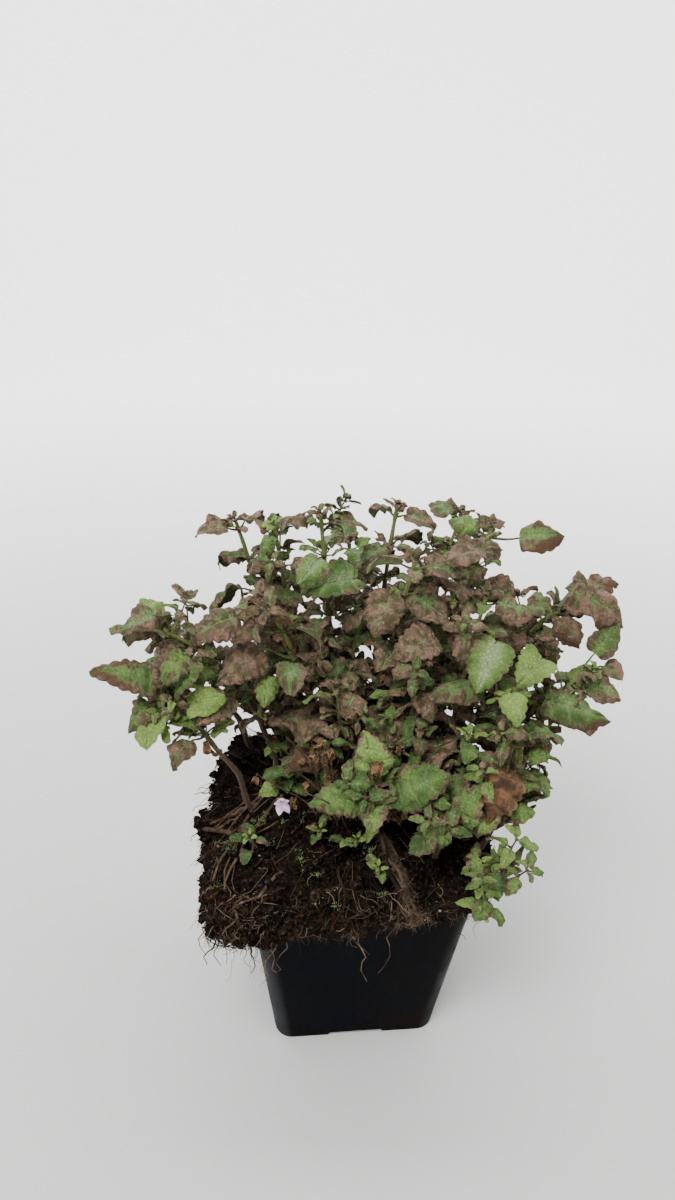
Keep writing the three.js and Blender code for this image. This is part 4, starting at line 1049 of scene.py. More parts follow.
@dataclass
class Stand:
    """A stem as it stands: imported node, number for its draws, kind, turn of its square section and plan."""

    node: str
    number: int
    size: StemSize
    spin: float
    plan: StemPlan

    def __post_init__(self) -> None:
        """Lays out the nodes along the path."""
        self.path = np.array(self.plan.path, float)
        self.nodes = self._nodes()

    def _stations(self) -> list[tuple[float, int | None]]:
        """Places of the stem's rings, and the node that starts at each."""
        plan, size = self.plan, self.size
        stations: list[tuple[float, int | None]] = [
            ((plan.start - 0.03) * k / size.plain, None) for k in range(size.plain)]
        for k in range(plan.pairs):
            t = mix(plan.start, 0.97, k / (plan.pairs - 1)) if plan.pairs > 1 else plan.start
            speed = np.linalg.norm(bezier(self.path, t + 0.01) - bezier(self.path, t - 0.01)) / 0.02
            half = size.node / 2 / speed
            stations += [(t - half, k), (t + half, None)]
        return stations + [(1.0, None)]

    def _nodes(self) -> list[StemNode]:
        """The nodes with their four faces."""
        stations = self._stations()
        points = [bezier(self.path, t) for t, _ in stations]
        side = level(self.spin)
        rings, marks = [], []
        for k, (t, number) in enumerate(stations):
            along = unit(points[min(k + 1, len(points) - 1)] - points[max(k - 1, 0)])
            side = unit(side - along * float(along @ side))
            other = np.cross(along, side)
            radius = mix(self.size.foot, self.size.tip, t)
            rings.append([points[k] + radius * (side * math.cos(a) + other * math.sin(a))
                          for a in (0, math.pi / 2, math.pi, 1.5 * math.pi)])
            if number is not None:
                marks.append((k, t, along, number / (self.plan.pairs - 1) if self.plan.pairs > 1 else 1.0))
        nodes = []
        for k, t, along, share in marks:
            low, high = rings[k], rings[k + 1]
            faces = []
            for i in range(4):
                j = (i + 1) % 4
                corners = [low[i], low[j], high[j], high[i]]
                out = unit(np.cross(corners[1] - corners[0], corners[3] - corners[0]))
                faces.append(Face(sum(corners) / 4, out))
            nodes.append(StemNode(k, t, along, share, faces))
        return nodes

    def own_leaf(self, index: int, face: Face, attempt: int) -> Leaf:
        """One of the leaves that stand out.

        Args:
            index: Its number in the plan.
            face: Face of the stem that it grows from.
            attempt: Number of the try, from 0.

        Returns:
            The leaf as it was tried.
        """
        own = self.plan.own[index]
        start, end, droop = np.array(own.base, float), np.array(own.tip, float), own.droop
        random = Draws(9000 + 100 * self.number + index)
        phase = 6 * random()
        chord = first = end - start
        length = float(np.linalg.norm(first)) * (droop / 2) / math.sin(droop / 2)
        for k in range(1, attempt + 1):
            chord = spun(first, UP, turned(random, k, 1.2))
            chord = chord + UP * turned(random, k, 0.8) * length
            length *= 1 - LEAF_SHRINK
        side = unit(np.cross(np.array([0, -0.55, 1]), chord))
        along = spun(chord, side, -droop / 2)
        base = start + face.out * 0.4 * attempt
        return Leaf.held(face, base, along, np.cross(along, side), length, own.width, droop, LEAF_FOLD, phase)

    def rule_leaf(self, node: StemNode, number: int, face: Face, minor: bool, attempt: int) -> Leaf:
        """One leaf of the rule.

        Args:
            node: Node that it grows at.
            number: Its number on the stem.
            face: Face of the stem that it grows from.
            minor: Whether it is one of the smaller second pair.
            attempt: Number of the try, from 0.

        Returns:
            The leaf as it was tried.
        """
        random, plan = Draws(1000 * self.number + 10 * number), self.plan
        flat = face.out + np.array([face.middle[0], face.middle[1], 0]) * LEAF_OUTWARD
        yaw = 0.5 * (random() - 0.5)
        lift = plan.lift + 0.8 * (random() - 0.5) + (0.5 if minor else 0) + (0.3 if node.share == 1 else 0)
        length = mix(plan.leaf[0], plan.leaf[1], node.share) * mix(0.85, 1.12, random())
        length *= LEAF_MINOR if minor else 1
        roll = 1.1 * (random() - 0.5)
        droop = LEAF_DROOP * mix(0.4, 1.8, random())
        fold = LEAF_FOLD * mix(0.5, 1.5, random())
        phase = 6 * random()
        turn, shift = yaw, 0.0
        for k in range(1, attempt + 1):
            turn = yaw + turned(random, k, 1.8)
            shift = turned(random, k, 1.4)
            length *= 1 - LEAF_SHRINK
        lift += shift
        out = level(math.atan2(flat[1], flat[0]) + turn)
        along = out * math.cos(lift) + UP * math.sin(lift)
        stalk = length * (0.3 if minor else mix(0.45, 0.25, node.share)) + 0.8
        way = unit(out + face.out * 0.5 + node.along * 0.35 + UP * 0.2)
        return Leaf.held(face, face.middle + way * stalk, along, spun(UP, along, roll), length,
                         length * LEAF_RATIO, droop, fold, phase)

    def wanted(self) -> list[tuple[Callable[[int], Leaf], Tint | None]]:
        """The leaves that the stem was given, as functions of the attempt, with their tints."""
        free = [set(range(4)) for _ in self.nodes]
        found: list[tuple[Callable[[int], Leaf], Tint | None]] = []
        for index, own in enumerate(self.plan.own):
            at = (own.at - self.plan.start) / max(0.97 - self.plan.start, 1e-9)
            k = min(range(len(self.nodes)),
                    key=lambda n: (abs(self.nodes[n].share - at) + (0 if free[n] else 9), n))
            faces = self.nodes[k].faces
            way = np.array(own.base, float) - (faces[0].middle + faces[2].middle) / 2
            i = max(sorted(free[k]), key=lambda f: float(faces[f].out @ way))
            free[k].discard(i)
            found.append((lambda n, index=index, face=faces[i]: self.own_leaf(index, face, n), own.tint))
        for k, node in enumerate(self.nodes):
            for order, turn in enumerate((0, 2, 1, 3)):
                i = (turn + k) % 4
                minor = order > 1
                if i in free[k] and (self.size.minors or not minor):
                    found.append((lambda n, node=node, i=i, number=4 * k + i, minor=minor: self.rule_leaf(
                        node, number, node.faces[i], minor, n), None))
        return found

    def leaves(self) -> list[tuple[Leaf, Tint | None]]:
        """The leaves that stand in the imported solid: the attempt whose tip and base are found there."""
        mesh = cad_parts[self.node].data
        tree = kdtree.KDTree(len(mesh.vertices))
        for i, vertex in enumerate(mesh.vertices):
            tree.insert(vertex.co, i)
        tree.balance()
        found = []
        for pose, tint in self.wanted():
            for attempt in range(LEAF_TRIES):
                leaf = pose(attempt)
                marks = leaf.at(np.array([1.0, 0.0]), np.zeros(2), np.array([0.0, LEAF_THICK / 2]))
                if all(tree.find(Vector(mark * MM))[2] < LEAF_FOUND for mark in marks):
                    found.append((leaf, tint))
                    break
        return found


# Leaves.


class Cut(Enum):
    """How finely a blade is cut: teeth a side, samples of a tooth, ranks of points a side, veins a side."""

    LARGE = (9, (0.0, 0.85, 1.0, 0.6), 4, 5)
    MIDDLE = (6, (0.0, 0.95, 0.75), 4, 4)
    SMALL = (4, (0.0, 1.0, 0.6), 3, 3)
    BUD = (3, (0.0, 1.0), 2, 2)
    SHADE = (2, (0.0, 1.0), 1, 2)


# The fine outline and midrib by the share of the way round the edge: place along the midrib from which a
# line starts, then the edge's share of the length and of the width.
OUTLINE = (
    (0, 0, 0, 0.03), (0.09, 0.012, -0.06, 0.17), (0.2, 0.03, -0.03, 0.34), (0.32, 0.07, 0.09, 0.455),
    (0.5, 0.2, 0.33, 0.485), (0.68, 0.4, 0.585, 0.385), (0.84, 0.64, 0.82, 0.215), (1, 1, 1, 0),
)


class BladeGrid:
    """The points and faces that every blade of a cut shares."""

    def __init__(self, cut: Cut) -> None:
        """Lays out the grid.

        Args:
            cut: How fine it is.
        """
        teeth, profile, ranks, self.veins = cut.value
        rows = teeth * len(profile)
        spots: list[tuple[float, ...]] = []
        top, under = ({side: np.zeros((rows, ranks + 1), int) for side in (1, -1)} for _ in range(2))
        for face, grid in ((0, top), (1, under)):
            for i in range(rows):
                tooth = profile[i % len(profile)]
                for j in range(ranks + 1):
                    for side in (1, -1):
                        if face and (i == 0 or j == ranks):
                            grid[side][i, j] = top[side][i, j]
                        elif j == 0 and side < 0:
                            grid[side][i, j] = grid[1][i, j]
                        else:
                            grid[side][i, j] = len(spots)
                            spots.append((i / rows, (j / ranks) ** 0.85, side, face, tooth))
        tip = len(spots)
        spots.append((1.0, 0.0, 1, 0, 0.0))
        self.faces: list[tuple[int, ...]] = []
        for grid, face in ((top, 1), (under, -1)):
            for side in (1, -1):
                g = grid[side]
                for j in range(ranks):
                    for i in range(rows - 1):
                        self._put(side * face, g[i, j], g[i + 1, j], g[i + 1, j + 1], g[i, j + 1])
                    self._put(side * face, g[rows - 1, j], tip, g[rows - 1, j + 1])
        self.s, self.t, self.side, self.under, self.tooth = np.array(spots).T
        self.u_rib, self.u_edge, self.v_edge = through(OUTLINE, self.s).T
        self.edge = [int(n) for side in (1, -1) for n in top[side][1:, ranks]]
        self.inner = [int(n) for side in (1, -1) for n in top[side][1:, ranks - 1]]

    def _put(self, way: int, *corners: int) -> None:
        """Adds a face, turned over where way is below zero."""
        face = tuple(int(c) for c in corners)
        self.faces.append(face if way > 0 else face[::-1])


GRIDS = {cut: BladeGrid(cut) for cut in Cut}


@dataclass
class LeafLook:
    """The build of one fine leaf on its plan."""

    leaf: Leaf
    tint: Tint
    seed: int
    cut: Cut | None = None
    crumple: float = 0.0
    thick: float = 0.42
    tooth_depth: float = 0.085
    quilt: float = 0.05

    def build(self, draft: Draft, hairs: "Hairs") -> None:
        """Adds the blade, its stalk and its edge hairs.

        Args:
            draft: Where they go: leaf, stem, hair and dead-leaf materials are its first four.
            hairs: Makes the hairs.
        """
        leaf, random = self.leaf, Draws(50000 + self.seed)
        cut = self.cut or (Cut.LARGE if leaf.length >= LARGE_LEAF else
                           Cut.MIDDLE if leaf.length >= MIDDLE_LEAF else Cut.SMALL)
        g = GRIDS[cut]
        skew, curl, depth = random.between(-0.08, 0.08), random.between(-0.3, 2.0), random.between(0.6, 1.2)
        puff, ripple = random.between(0.8, 1.7), random.between(0.0, ANY_TURN)
        twist, cup, wave = random.between(-0.6, 0.6), random.between(-0.2, 0.07), random.between(0.035, 0.095)
        rim = self.tooth_depth * depth * g.tooth * g.t**2 * np.sin(np.pi * np.clip(g.s * 1.02, 0, 1)) ** 0.4
        u = mix(g.u_rib, g.u_edge + 0.35 * rim, g.t**1.12)
        v = g.side * (g.v_edge * (1 + g.side * skew) * g.t + 0.8 * rim)
        rib = g.veins * g.s + 0.5 * g.t * (1 - g.s)
        swell = np.sin(np.pi * rib) ** 2 * (4 * g.t * (1 - g.t)) ** 0.8 * np.sin(np.pi * g.s) ** 0.5
        h = leaf.length * (self.quilt * puff * swell - 0.014 * bump(g.t, 0, 0.13)
                           + cup * g.t**3 - 0.05 * g.t**5 - 0.42 * curl * np.clip(u - 0.6, 0, 1) ** 1.5
                           + wave * g.t**2 * np.sin(8.5 * g.s + ripple + 2.2 * g.side)
                           + 0.022 * g.t * np.sin(19 * g.s + 2 * ripple + g.side))
        h = h + leaf.width * v * twist * np.clip(u, 0, 1)
        crumple = self.crumple + (0.035 if self.tint in (MAUVE, BRONZE, DRY) else 0.0)
        h = h + crumple * leaf.length * (g.t * np.sin(21 * g.s + 3 * g.side + ripple) - 1.4 * g.t**2)
        gap = self.thick * (1 - g.t**4) * np.minimum(1, 14 * g.s) * (0.5 + 0.5 * min(1, leaf.length / 14))
        points = leaf.at(u, v, h - g.under * gap, 0.07)
        silver, mauve, dry, yellow, tone = self.tint.value
        vary = [random.between(0.7, 1.3) for _ in range(3)]
        tone += random.between(-0.22, 0.22)
        draft.add(points, g.faces, 3 if self.tint is WITHERED else 0,
                  leaf_place=np.stack([rib, g.t, u], 1),
                  leaf_tint=(silver * vary[0], mauve * vary[1], dry * vary[2]),
                  leaf_tone=np.stack([np.full_like(u, tone), g.under, np.full_like(u, yellow)], 1))
        if cut is not Cut.SHADE:
            self._stalk(draft, random)
        if cut in (Cut.LARGE, Cut.MIDDLE):
            edge, inner = points[g.edge[::3]], points[g.inner[::3]]
            hairs.add(draft, edge, edge - inner, 0.55)

    def _stalk(self, draft: Draft, random: Draws) -> None:
        """Adds the stalk, which runs on under the blade as its midrib."""
        leaf, face = self.leaf, self.leaf.face
        way = float(np.linalg.norm(leaf.base - face.middle))
        small = leaf.length < SMALL_LEAF
        ends = np.array([face.middle - face.out * 0.4, face.middle + face.out * 0.35 * way,
                         leaf.base - leaf.x * 0.3 * way, leaf.base - leaf.z * 0.15])
        path = [bezier(ends, t) for t in np.linspace(0, 1, 3 if small else 5)]
        along = np.array([0.2, 0.6] if small else [0.15, 0.4, 0.62, 0.85])
        path += list(leaf.at(along, 0 * along, 0 * along - self.thick - 0.02 * leaf.length, 0.07))
        thick = np.interp(np.linspace(0, 1, len(path)), [0, 0.15, 0.5, 1], [0.75, 0.5, 0.34, 0.1])
        thick = thick * (0.55 + 0.45 * min(1.0, leaf.length / 16))
        draft.add(*tube(np.array(path), thick, 3 if small else 5), 1,
                  stem_tone=(0.4 + 0.5 * random(), 0.5 * random(), 0))


def withered(leaf: Leaf, random: Draws, seed: int, cut: Cut, crumple: Span) -> LeafLook:
    """The look of a shrivelled leaf, with a seed from one upwards and a crumple within a span."""
    number = seed + int(random() * 90000)
    return LeafLook(leaf, WITHERED, number, cut, random.between(*crumple), LEAFLET_THICK, 0.06)


class Hairs:
    """Short stiff hairs, each a thin closed spike."""

    def __init__(self, seed: int, radius: float = 0.035) -> None:
        """Starts the draws of the hairs' lengths and turns."""
        self.random, self.radius = np.random.default_rng(seed), radius

    def add(self, draft: Draft, roots: Array, ways: Array, length: float, slot: int = 2) -> None:
        """Adds hairs.

        Args:
            draft: Where they go.
            roots: Their roots.
            ways: The ways they point.
            length: Their mean length in mm.
            slot: Number of their material.
        """
        ways = ways / np.linalg.norm(ways, axis=1)[:, None]
        ways = ways + self.random.normal(0, 0.3, ways.shape)
        ways /= np.linalg.norm(ways, axis=1)[:, None]
        side = np.cross(ways, np.array([0.31, 0.53, 0.79]))
        side /= np.linalg.norm(side, axis=1)[:, None]
        other = np.cross(ways, side)
        sizes = length * self.random.uniform(0.6, 1.3, len(roots))
        corners = [roots + self.radius * (math.cos(a) * side + math.sin(a) * other) - 0.06 * ways
                   for a in (0, 2.09, 4.19)]
        points = np.stack([*corners, roots + ways * sizes[:, None]], 1).reshape(-1, 3)
        faces = [(4 * n + a, 4 * n + b, 4 * n + c) for n in range(len(roots))
                 for a, b, c in ((0, 1, 3), (1, 2, 3), (2, 0, 3), (2, 1, 0))]
        draft.add(points, faces, slot)


# Sub-assemblies.


@dataclass
class LeafyStem:
    """One leafy stem: a hairy square stem, its leaves, and the small tufts at its tip and in its axils."""

    finish: Finishes
    stand: Stand
    swelling: float = 0.35
    tuft_leaf: float = 6.0
    axil_leaf: float = 7.2
    dead_leaf: float = 7.5
    sprigs: int = 4
    sprig_leaf: float = 7.6
    crook: float = 0.9
    sides: int = 8
    hair: float = 0.5

    def __post_init__(self) -> None:
        """Starts the mesh and the draws."""
        number = self.stand.number
        self.leafy, self.size = self.stand.size.minors, self.stand.size
        self.draft, self.hairs, self.random = Draft(), Hairs(number), Draws(7000 + number)

    def build(self) -> None:
        """Builds the stem's piece."""
        stand = self.stand
        self._stem()
        for n, (leaf, tint) in enumerate(stand.leaves()):
            pick = self._pick()
            look = LeafLook(leaf, tint or pick, 100 * stand.number + n)
            if look.tint is WITHERED:
                look.crumple = 0.09
            look.build(self.draft, self.hairs)
        self._tuft()
        if self.leafy:
            for node in stand.nodes[:-1]:
                self._axils(node)
            for n in range(self.sprigs):
                self._sprig(n)
        self.draft.piece(f"{stand.node}_foliage", self.finish.leafy, "foliage", [stand.node])

    def _pick(self) -> Tint:
        """One of the stem's own tints."""
        tints = self.stand.plan.tints
        return tints[int(self.random() * len(tints))]

    def _stem(self) -> None:
        """Adds the stem and its hairs."""
        stand, size, number = self.stand, self.size, self.stand.number
        at = np.unique(np.concatenate([np.linspace(0, 1, 34 if self.leafy else 12), [
            min(1.0, max(0.0, node.at + d)) for node in stand.nodes for d in (-0.012, 0.0, 0.012, 0.024)]]))
        low = np.clip(at / stand.plan.start, 0, 1)
        bent = self.crook * (size.foot / LEAFY.foot) * np.sin(math.pi * low)
        path = np.array([bezier(stand.path, t) for t in at]) + crooks(low, bent, (11, 8), number)
        radii = mix(size.foot, size.tip, at) * (
            0.86 + 0.06 * np.sin(31 * at + number) + 0.06 * np.sin(73 * at + 2 * number))
        for node in stand.nodes:
            radii = radii * (1 + self.swelling * bump(at, node.at + 0.008, 0.012))
        points, faces = tube(path, radii, self.sides, level(stand.spin), 1.35)
        age = np.append(np.repeat(at, self.sides), [0, 1])
        tint = 0.5 + 0.5 * math.sin(3.1 * number)
        self.draft.add(points, faces, 1, stem_tone=np.stack([age, np.full_like(age, tint), 0 * age], 1))
        rows = np.random.default_rng(number).integers(
            self.sides * 6, self.sides * (len(at) - 1), 120 if self.leafy else 50)
        self.hairs.add(self.draft, points[rows], points[rows] - path[rows // self.sides], self.hair)

    def _small(self, centre: Array, way: Array, turn: float, lift: float, length: float) -> Leaf:
        """A small leaf that stands off a centre.

        Args:
            centre: Where it grows.
            way: The way of the shoot.
            turn: Its turn about that way.
            lift: How far it points up the way, in radians.
            length: The blade's length.

        Returns:
            The leaf.
        """
        random, out = self.random, spun(beside(way), way, turn)
        along = unit(out * math.cos(lift) + way * math.sin(lift))
        base, width = centre + along * (0.9 + 0.12 * length), 0.62 * length
        return Leaf.held(Face(centre + out * 0.5, out), base, along, way, length, width,
                         random.between(0.3, 1.1), random.between(0.2, 0.6), 6 * random())

    def _leaflet(self, leaf: Leaf, tint: Tint, seed: int, bud: float = 6) -> None:
        """Adds a small leaf, cut as a bud where it is shorter than a length."""
        cut = Cut.BUD if leaf.length < bud else Cut.SMALL
        LeafLook(leaf, tint, seed, cut, thick=LEAFLET_THICK).build(self.draft, self.hairs)

    def _tuft(self) -> None:
        """Adds the unopened leaves at the growing tip."""
        path, random = self.stand.path, self.random
        way = unit(unit(bezier(path, 1.0) - bezier(path, 0.95)) + 0.6 * UP)
        tints = (RED, PALE, BRONZE, MAUVE)
        tint = tints[int(random() * 4)] if self.leafy else PALE
        for k in range(6):
            length = self.tuft_leaf * random.between(0.7, 1.1) * (1 - 0.09 * k) * (1 if self.leafy else 0.6)
            leaf = self._small(path[3] + way * 0.25 * k, way, 1.57 * k + random.between(-0.3, 0.3),
                               random.between(0.3, 0.7) + 0.1 * k, length)
            self._leaflet(leaf, tint, 200000 + 10 * self.stand.number + k, 4)

    def _axils(self, node: StemNode) -> None:
        """Adds the small leaves in a node's axils, and at times a shrivelled one.

        Args:
            node: The node.
        """
        random, centre = self.random, bezier(self.stand.path, node.at)
        for k in range(7):
            if random() < 0.28:
                continue
            length = self.axil_leaf * random.between(0.45, 1.25) * (1 - 0.2 * node.share)
            start = centre + node.along * random.between(0.2, 1.5)
            turn = 0.9 * k + random.between(-0.5, 0.5)
            leaf = self._small(start, node.along, turn, random.between(0.0, 1.1), length)
            leaf.base = leaf.base + leaf.x * random.between(0.0, 3.2)
            pick = random()
            tint = FRESH if pick < 0.25 else MOTTLED if pick < 0.45 else self._pick()
            self._leaflet(leaf, tint, 300000 + 100 * self.stand.number + 10 * node.ring + k)
        if random() < 0.75 - 0.6 * node.share:
            length = self.dead_leaf * random.between(0.6, 1.3)
            leaf = self._small(centre, node.along, random() * ANY_TURN, random.between(-1.3, -0.5), length)
            leaf.droop, leaf.fold = random.between(0.6, 1.8), random.between(0.7, 1.15)
            leaf.width = 0.75 * length
            withered(leaf, random, 400000, Cut.SMALL, (0.06, 0.13)).build(self.draft, self.hairs)

    def _sprig(self, n: int) -> None:
        """Adds a short side shoot with pairs of small leaves and a tip.

        Args:
            n: Its number on the stem.
        """
        stand, random = self.stand, self.random
        at = random.between(max(0.35, stand.plan.start), 0.96)
        start = bezier(stand.path, at)
        way = unit(bezier(stand.path, at + 0.02) - bezier(stand.path, at - 0.02))
        out = spun(beside(way), way, random() * ANY_TURN)
        reach, tint = random.between(5, 13), self._pick()
        line = np.array([start + out * reach * t + UP * reach * (0.1 * t + 0.6 * t * t)
                         for t in np.linspace(0, 1, 6)])
        self.draft.add(*tube(line, np.linspace(0.5, 0.28, 6), 5), 1, stem_tone=(0.3 + 0.6 * random(), 0.4, 0))
        rise = unit(line[-1] - line[-2])
        for k in range(8):
            spot = line[5] if k < 4 else line[4] if k < 6 else line[2]
            length = self.sprig_leaf * random.between(0.55, 1.15) * (0.72 if k < 2 else 1)
            turn = 1.57 * k + random.between(-0.3, 0.3)
            leaf = self._small(spot + rise * 0.3 * (3 - k if k < 4 else 0), rise, turn,
                               random.between(0.0, 0.6) + (0.5 if k < 2 else 0), length)
            self._leaflet(leaf, tint if random() < 0.7 else self._pick(),
                          600000 + 1000 * stand.number + 10 * n + k)


@dataclass
class BareTwig:
    """A bare twig of older growth, knobbly at its old nodes, with a broken end."""

    finish: Finishes
    number: int
    points: tuple[Spot, ...]
    foot: float = 1.3
    tip: float = 0.7

    def build(self) -> None:
        """Builds the twig."""
        foot, middle, tip = (np.array(p, float) for p in self.points)
        path = np.array([foot, mix(foot, middle, 0.66), mix(middle, tip, 0.34), tip])
        at, random, draft = np.linspace(0, 1, 40), Draws(4000 + self.number), Draft()
        knots = [random.between(0.3, 0.95) for _ in range(3)]
        radii = mix(self.foot, self.tip, at) * (1 + 0.12 * np.sin(37 * at + self.number))
        for knot in knots:
            radii = radii * (1 + 0.5 * bump(at, knot, 0.018))
        radii[-1] *= 0.55
        draft.add(*tube(np.array([bezier(path, t) for t in at]), radii, 9, None, 1.6))
        for knot in knots:
            start = bezier(path, knot)
            way = np.array([random.between(-1, 1), random.between(-1, 0.3), random.between(0.1, 0.9)])
            spur = np.array([start, start + unit(way) * 1.6, start + unit(way + 0.5 * UP) * 3.4])
            draft.add(*tube(spur, np.array([0.55, 0.42, 0.2]), 6))
        name = f"twig_{self.number + 1:02d}"
        draft.piece(f"{name}_bark", [self.finish.bark], "twig", [name])


@dataclass(frozen=True)
class Scrap:
    """Spans from which a small leaf of the dry growth is drawn."""

    lowest: float
    length: Span
    rise: Span
    droop: Span
    fold: Span
    sink: float
    facing: float


SHADED = Scrap(2, (5.5, 10.5), (-0.5, 0.7), (0.3, 1.3), (0.2, 0.7), 0.0, 0.2)
DEAD = Scrap(3, (4, 9), (-0.3, -2.2), (0.5, 1.9), (0.5, 1.1), 0.4, 0.3)


@dataclass
class DryGrowth:
    """Old side shoots among the stems: thin crooked stalks with scraps of leaf and small shaded leaves."""

    finish: Finishes
    count: int = 150
    thick: float = 0.5
    middle: Span = (4, 8)
    spread: Span = (32, 28)
    thicket: Span = (2, -10)
    thicket_spread: Span = (16, 14)
    base: float = 96
    tints: tuple[Tint, ...] = (DEEP, FRESH, GREY, BRONZE, PALE, DEEP)

    def __post_init__(self) -> None:
        """Starts the mesh and the draws."""
        self.draft, self.hairs, self.random = Draft(), Hairs(8181), Draws(8181)

    def build(self) -> None:
        """Builds the dead growth."""
        random = self.random
        for n in range(self.count):
            angle, share = random() * 2 * math.pi, math.sqrt(random())
            middle, spread = (self.middle, self.spread) if n % 3 else (self.thicket, self.thicket_spread)
            start = np.array([middle[0] + spread[0] * share * math.cos(angle),
                              middle[1] + spread[1] * share * math.sin(angle), self.base])
            path, thick = self._stalk(n, start)
            if n % 3 and start[1] > -4:
                for _ in range(int(random.between(6, 13))):
                    leaf = self._scrap(path, SHADED, thick * 0.5)
                    tint = self.tints[int(random() * 6)]
                    seed = 700000 + int(random() * 90000)
                    LeafLook(leaf, tint, seed, Cut.SHADE, thick=LEAFLET_THICK).build(self.draft, self.hairs)
            for _ in range(int(random() * 3.4)):
                leaf = self._scrap(path, DEAD, 1.2)
                cut = Cut.BUD if leaf.length < 7.5 else Cut.SMALL
                withered(leaf, random, 500000, cut, (0.05, 0.12)).build(self.draft, self.hairs)
        self.draft.piece("dry_growth", [*self.finish.leafy, self.finish.bark], "twig")

    def _stalk(self, n: int, start: Array) -> tuple[Array, float]:
        """Adds a crooked stalk that leans out from the middle.

        Args:
            n: Its number.
            start: Its foot.

        Returns:
            Its path and thickness.
        """
        random, at = self.random, np.linspace(0, 1, 9)
        aside = random.between(-0.4, 0.4)
        lean = np.array([0.011 * start[0] + (min(aside, 0.0) if start[0] > 18 else aside),
                         0.01 * start[1] + random.between(-0.45, 0.25), 1.0])
        height = random.between(14, 40 if start[0] > 24 else 58)
        bend = np.array([random.between(-0.35, 0.35), random.between(-0.35, 0.35), -0.15])
        path = np.array([start + lean * height * t + bend * height * t * t for t in at])
        path += crooks(at, 0.7, (9, 7), n)
        thick = self.thick * random.between(0.6, 1.35)
        self.draft.add(*tube(path, thick * np.linspace(1, 0.45, 9), 4), 4)
        return path, thick

    def _scrap(self, path: Array, kind: Scrap, reach: float) -> Leaf:
        """A small leaf on a stalk.

        Args:
            path: The stalk.
            kind: Spans of its form.
            reach: How far its base stands off the stalk.

        Returns:
            The leaf.
        """
        random = self.random
        spot, out = path[int(random.between(kind.lowest, 8.9))], level(random() * ANY_TURN)
        length = random.between(*kind.length)
        return Leaf.held(Face(spot, out), spot + out * reach - UP * kind.sink,
                         out + UP * random.between(*kind.rise), UP + kind.facing * out, length, 0.7 * length,
                         random.between(*kind.droop), random.between(*kind.fold), 6 * random())


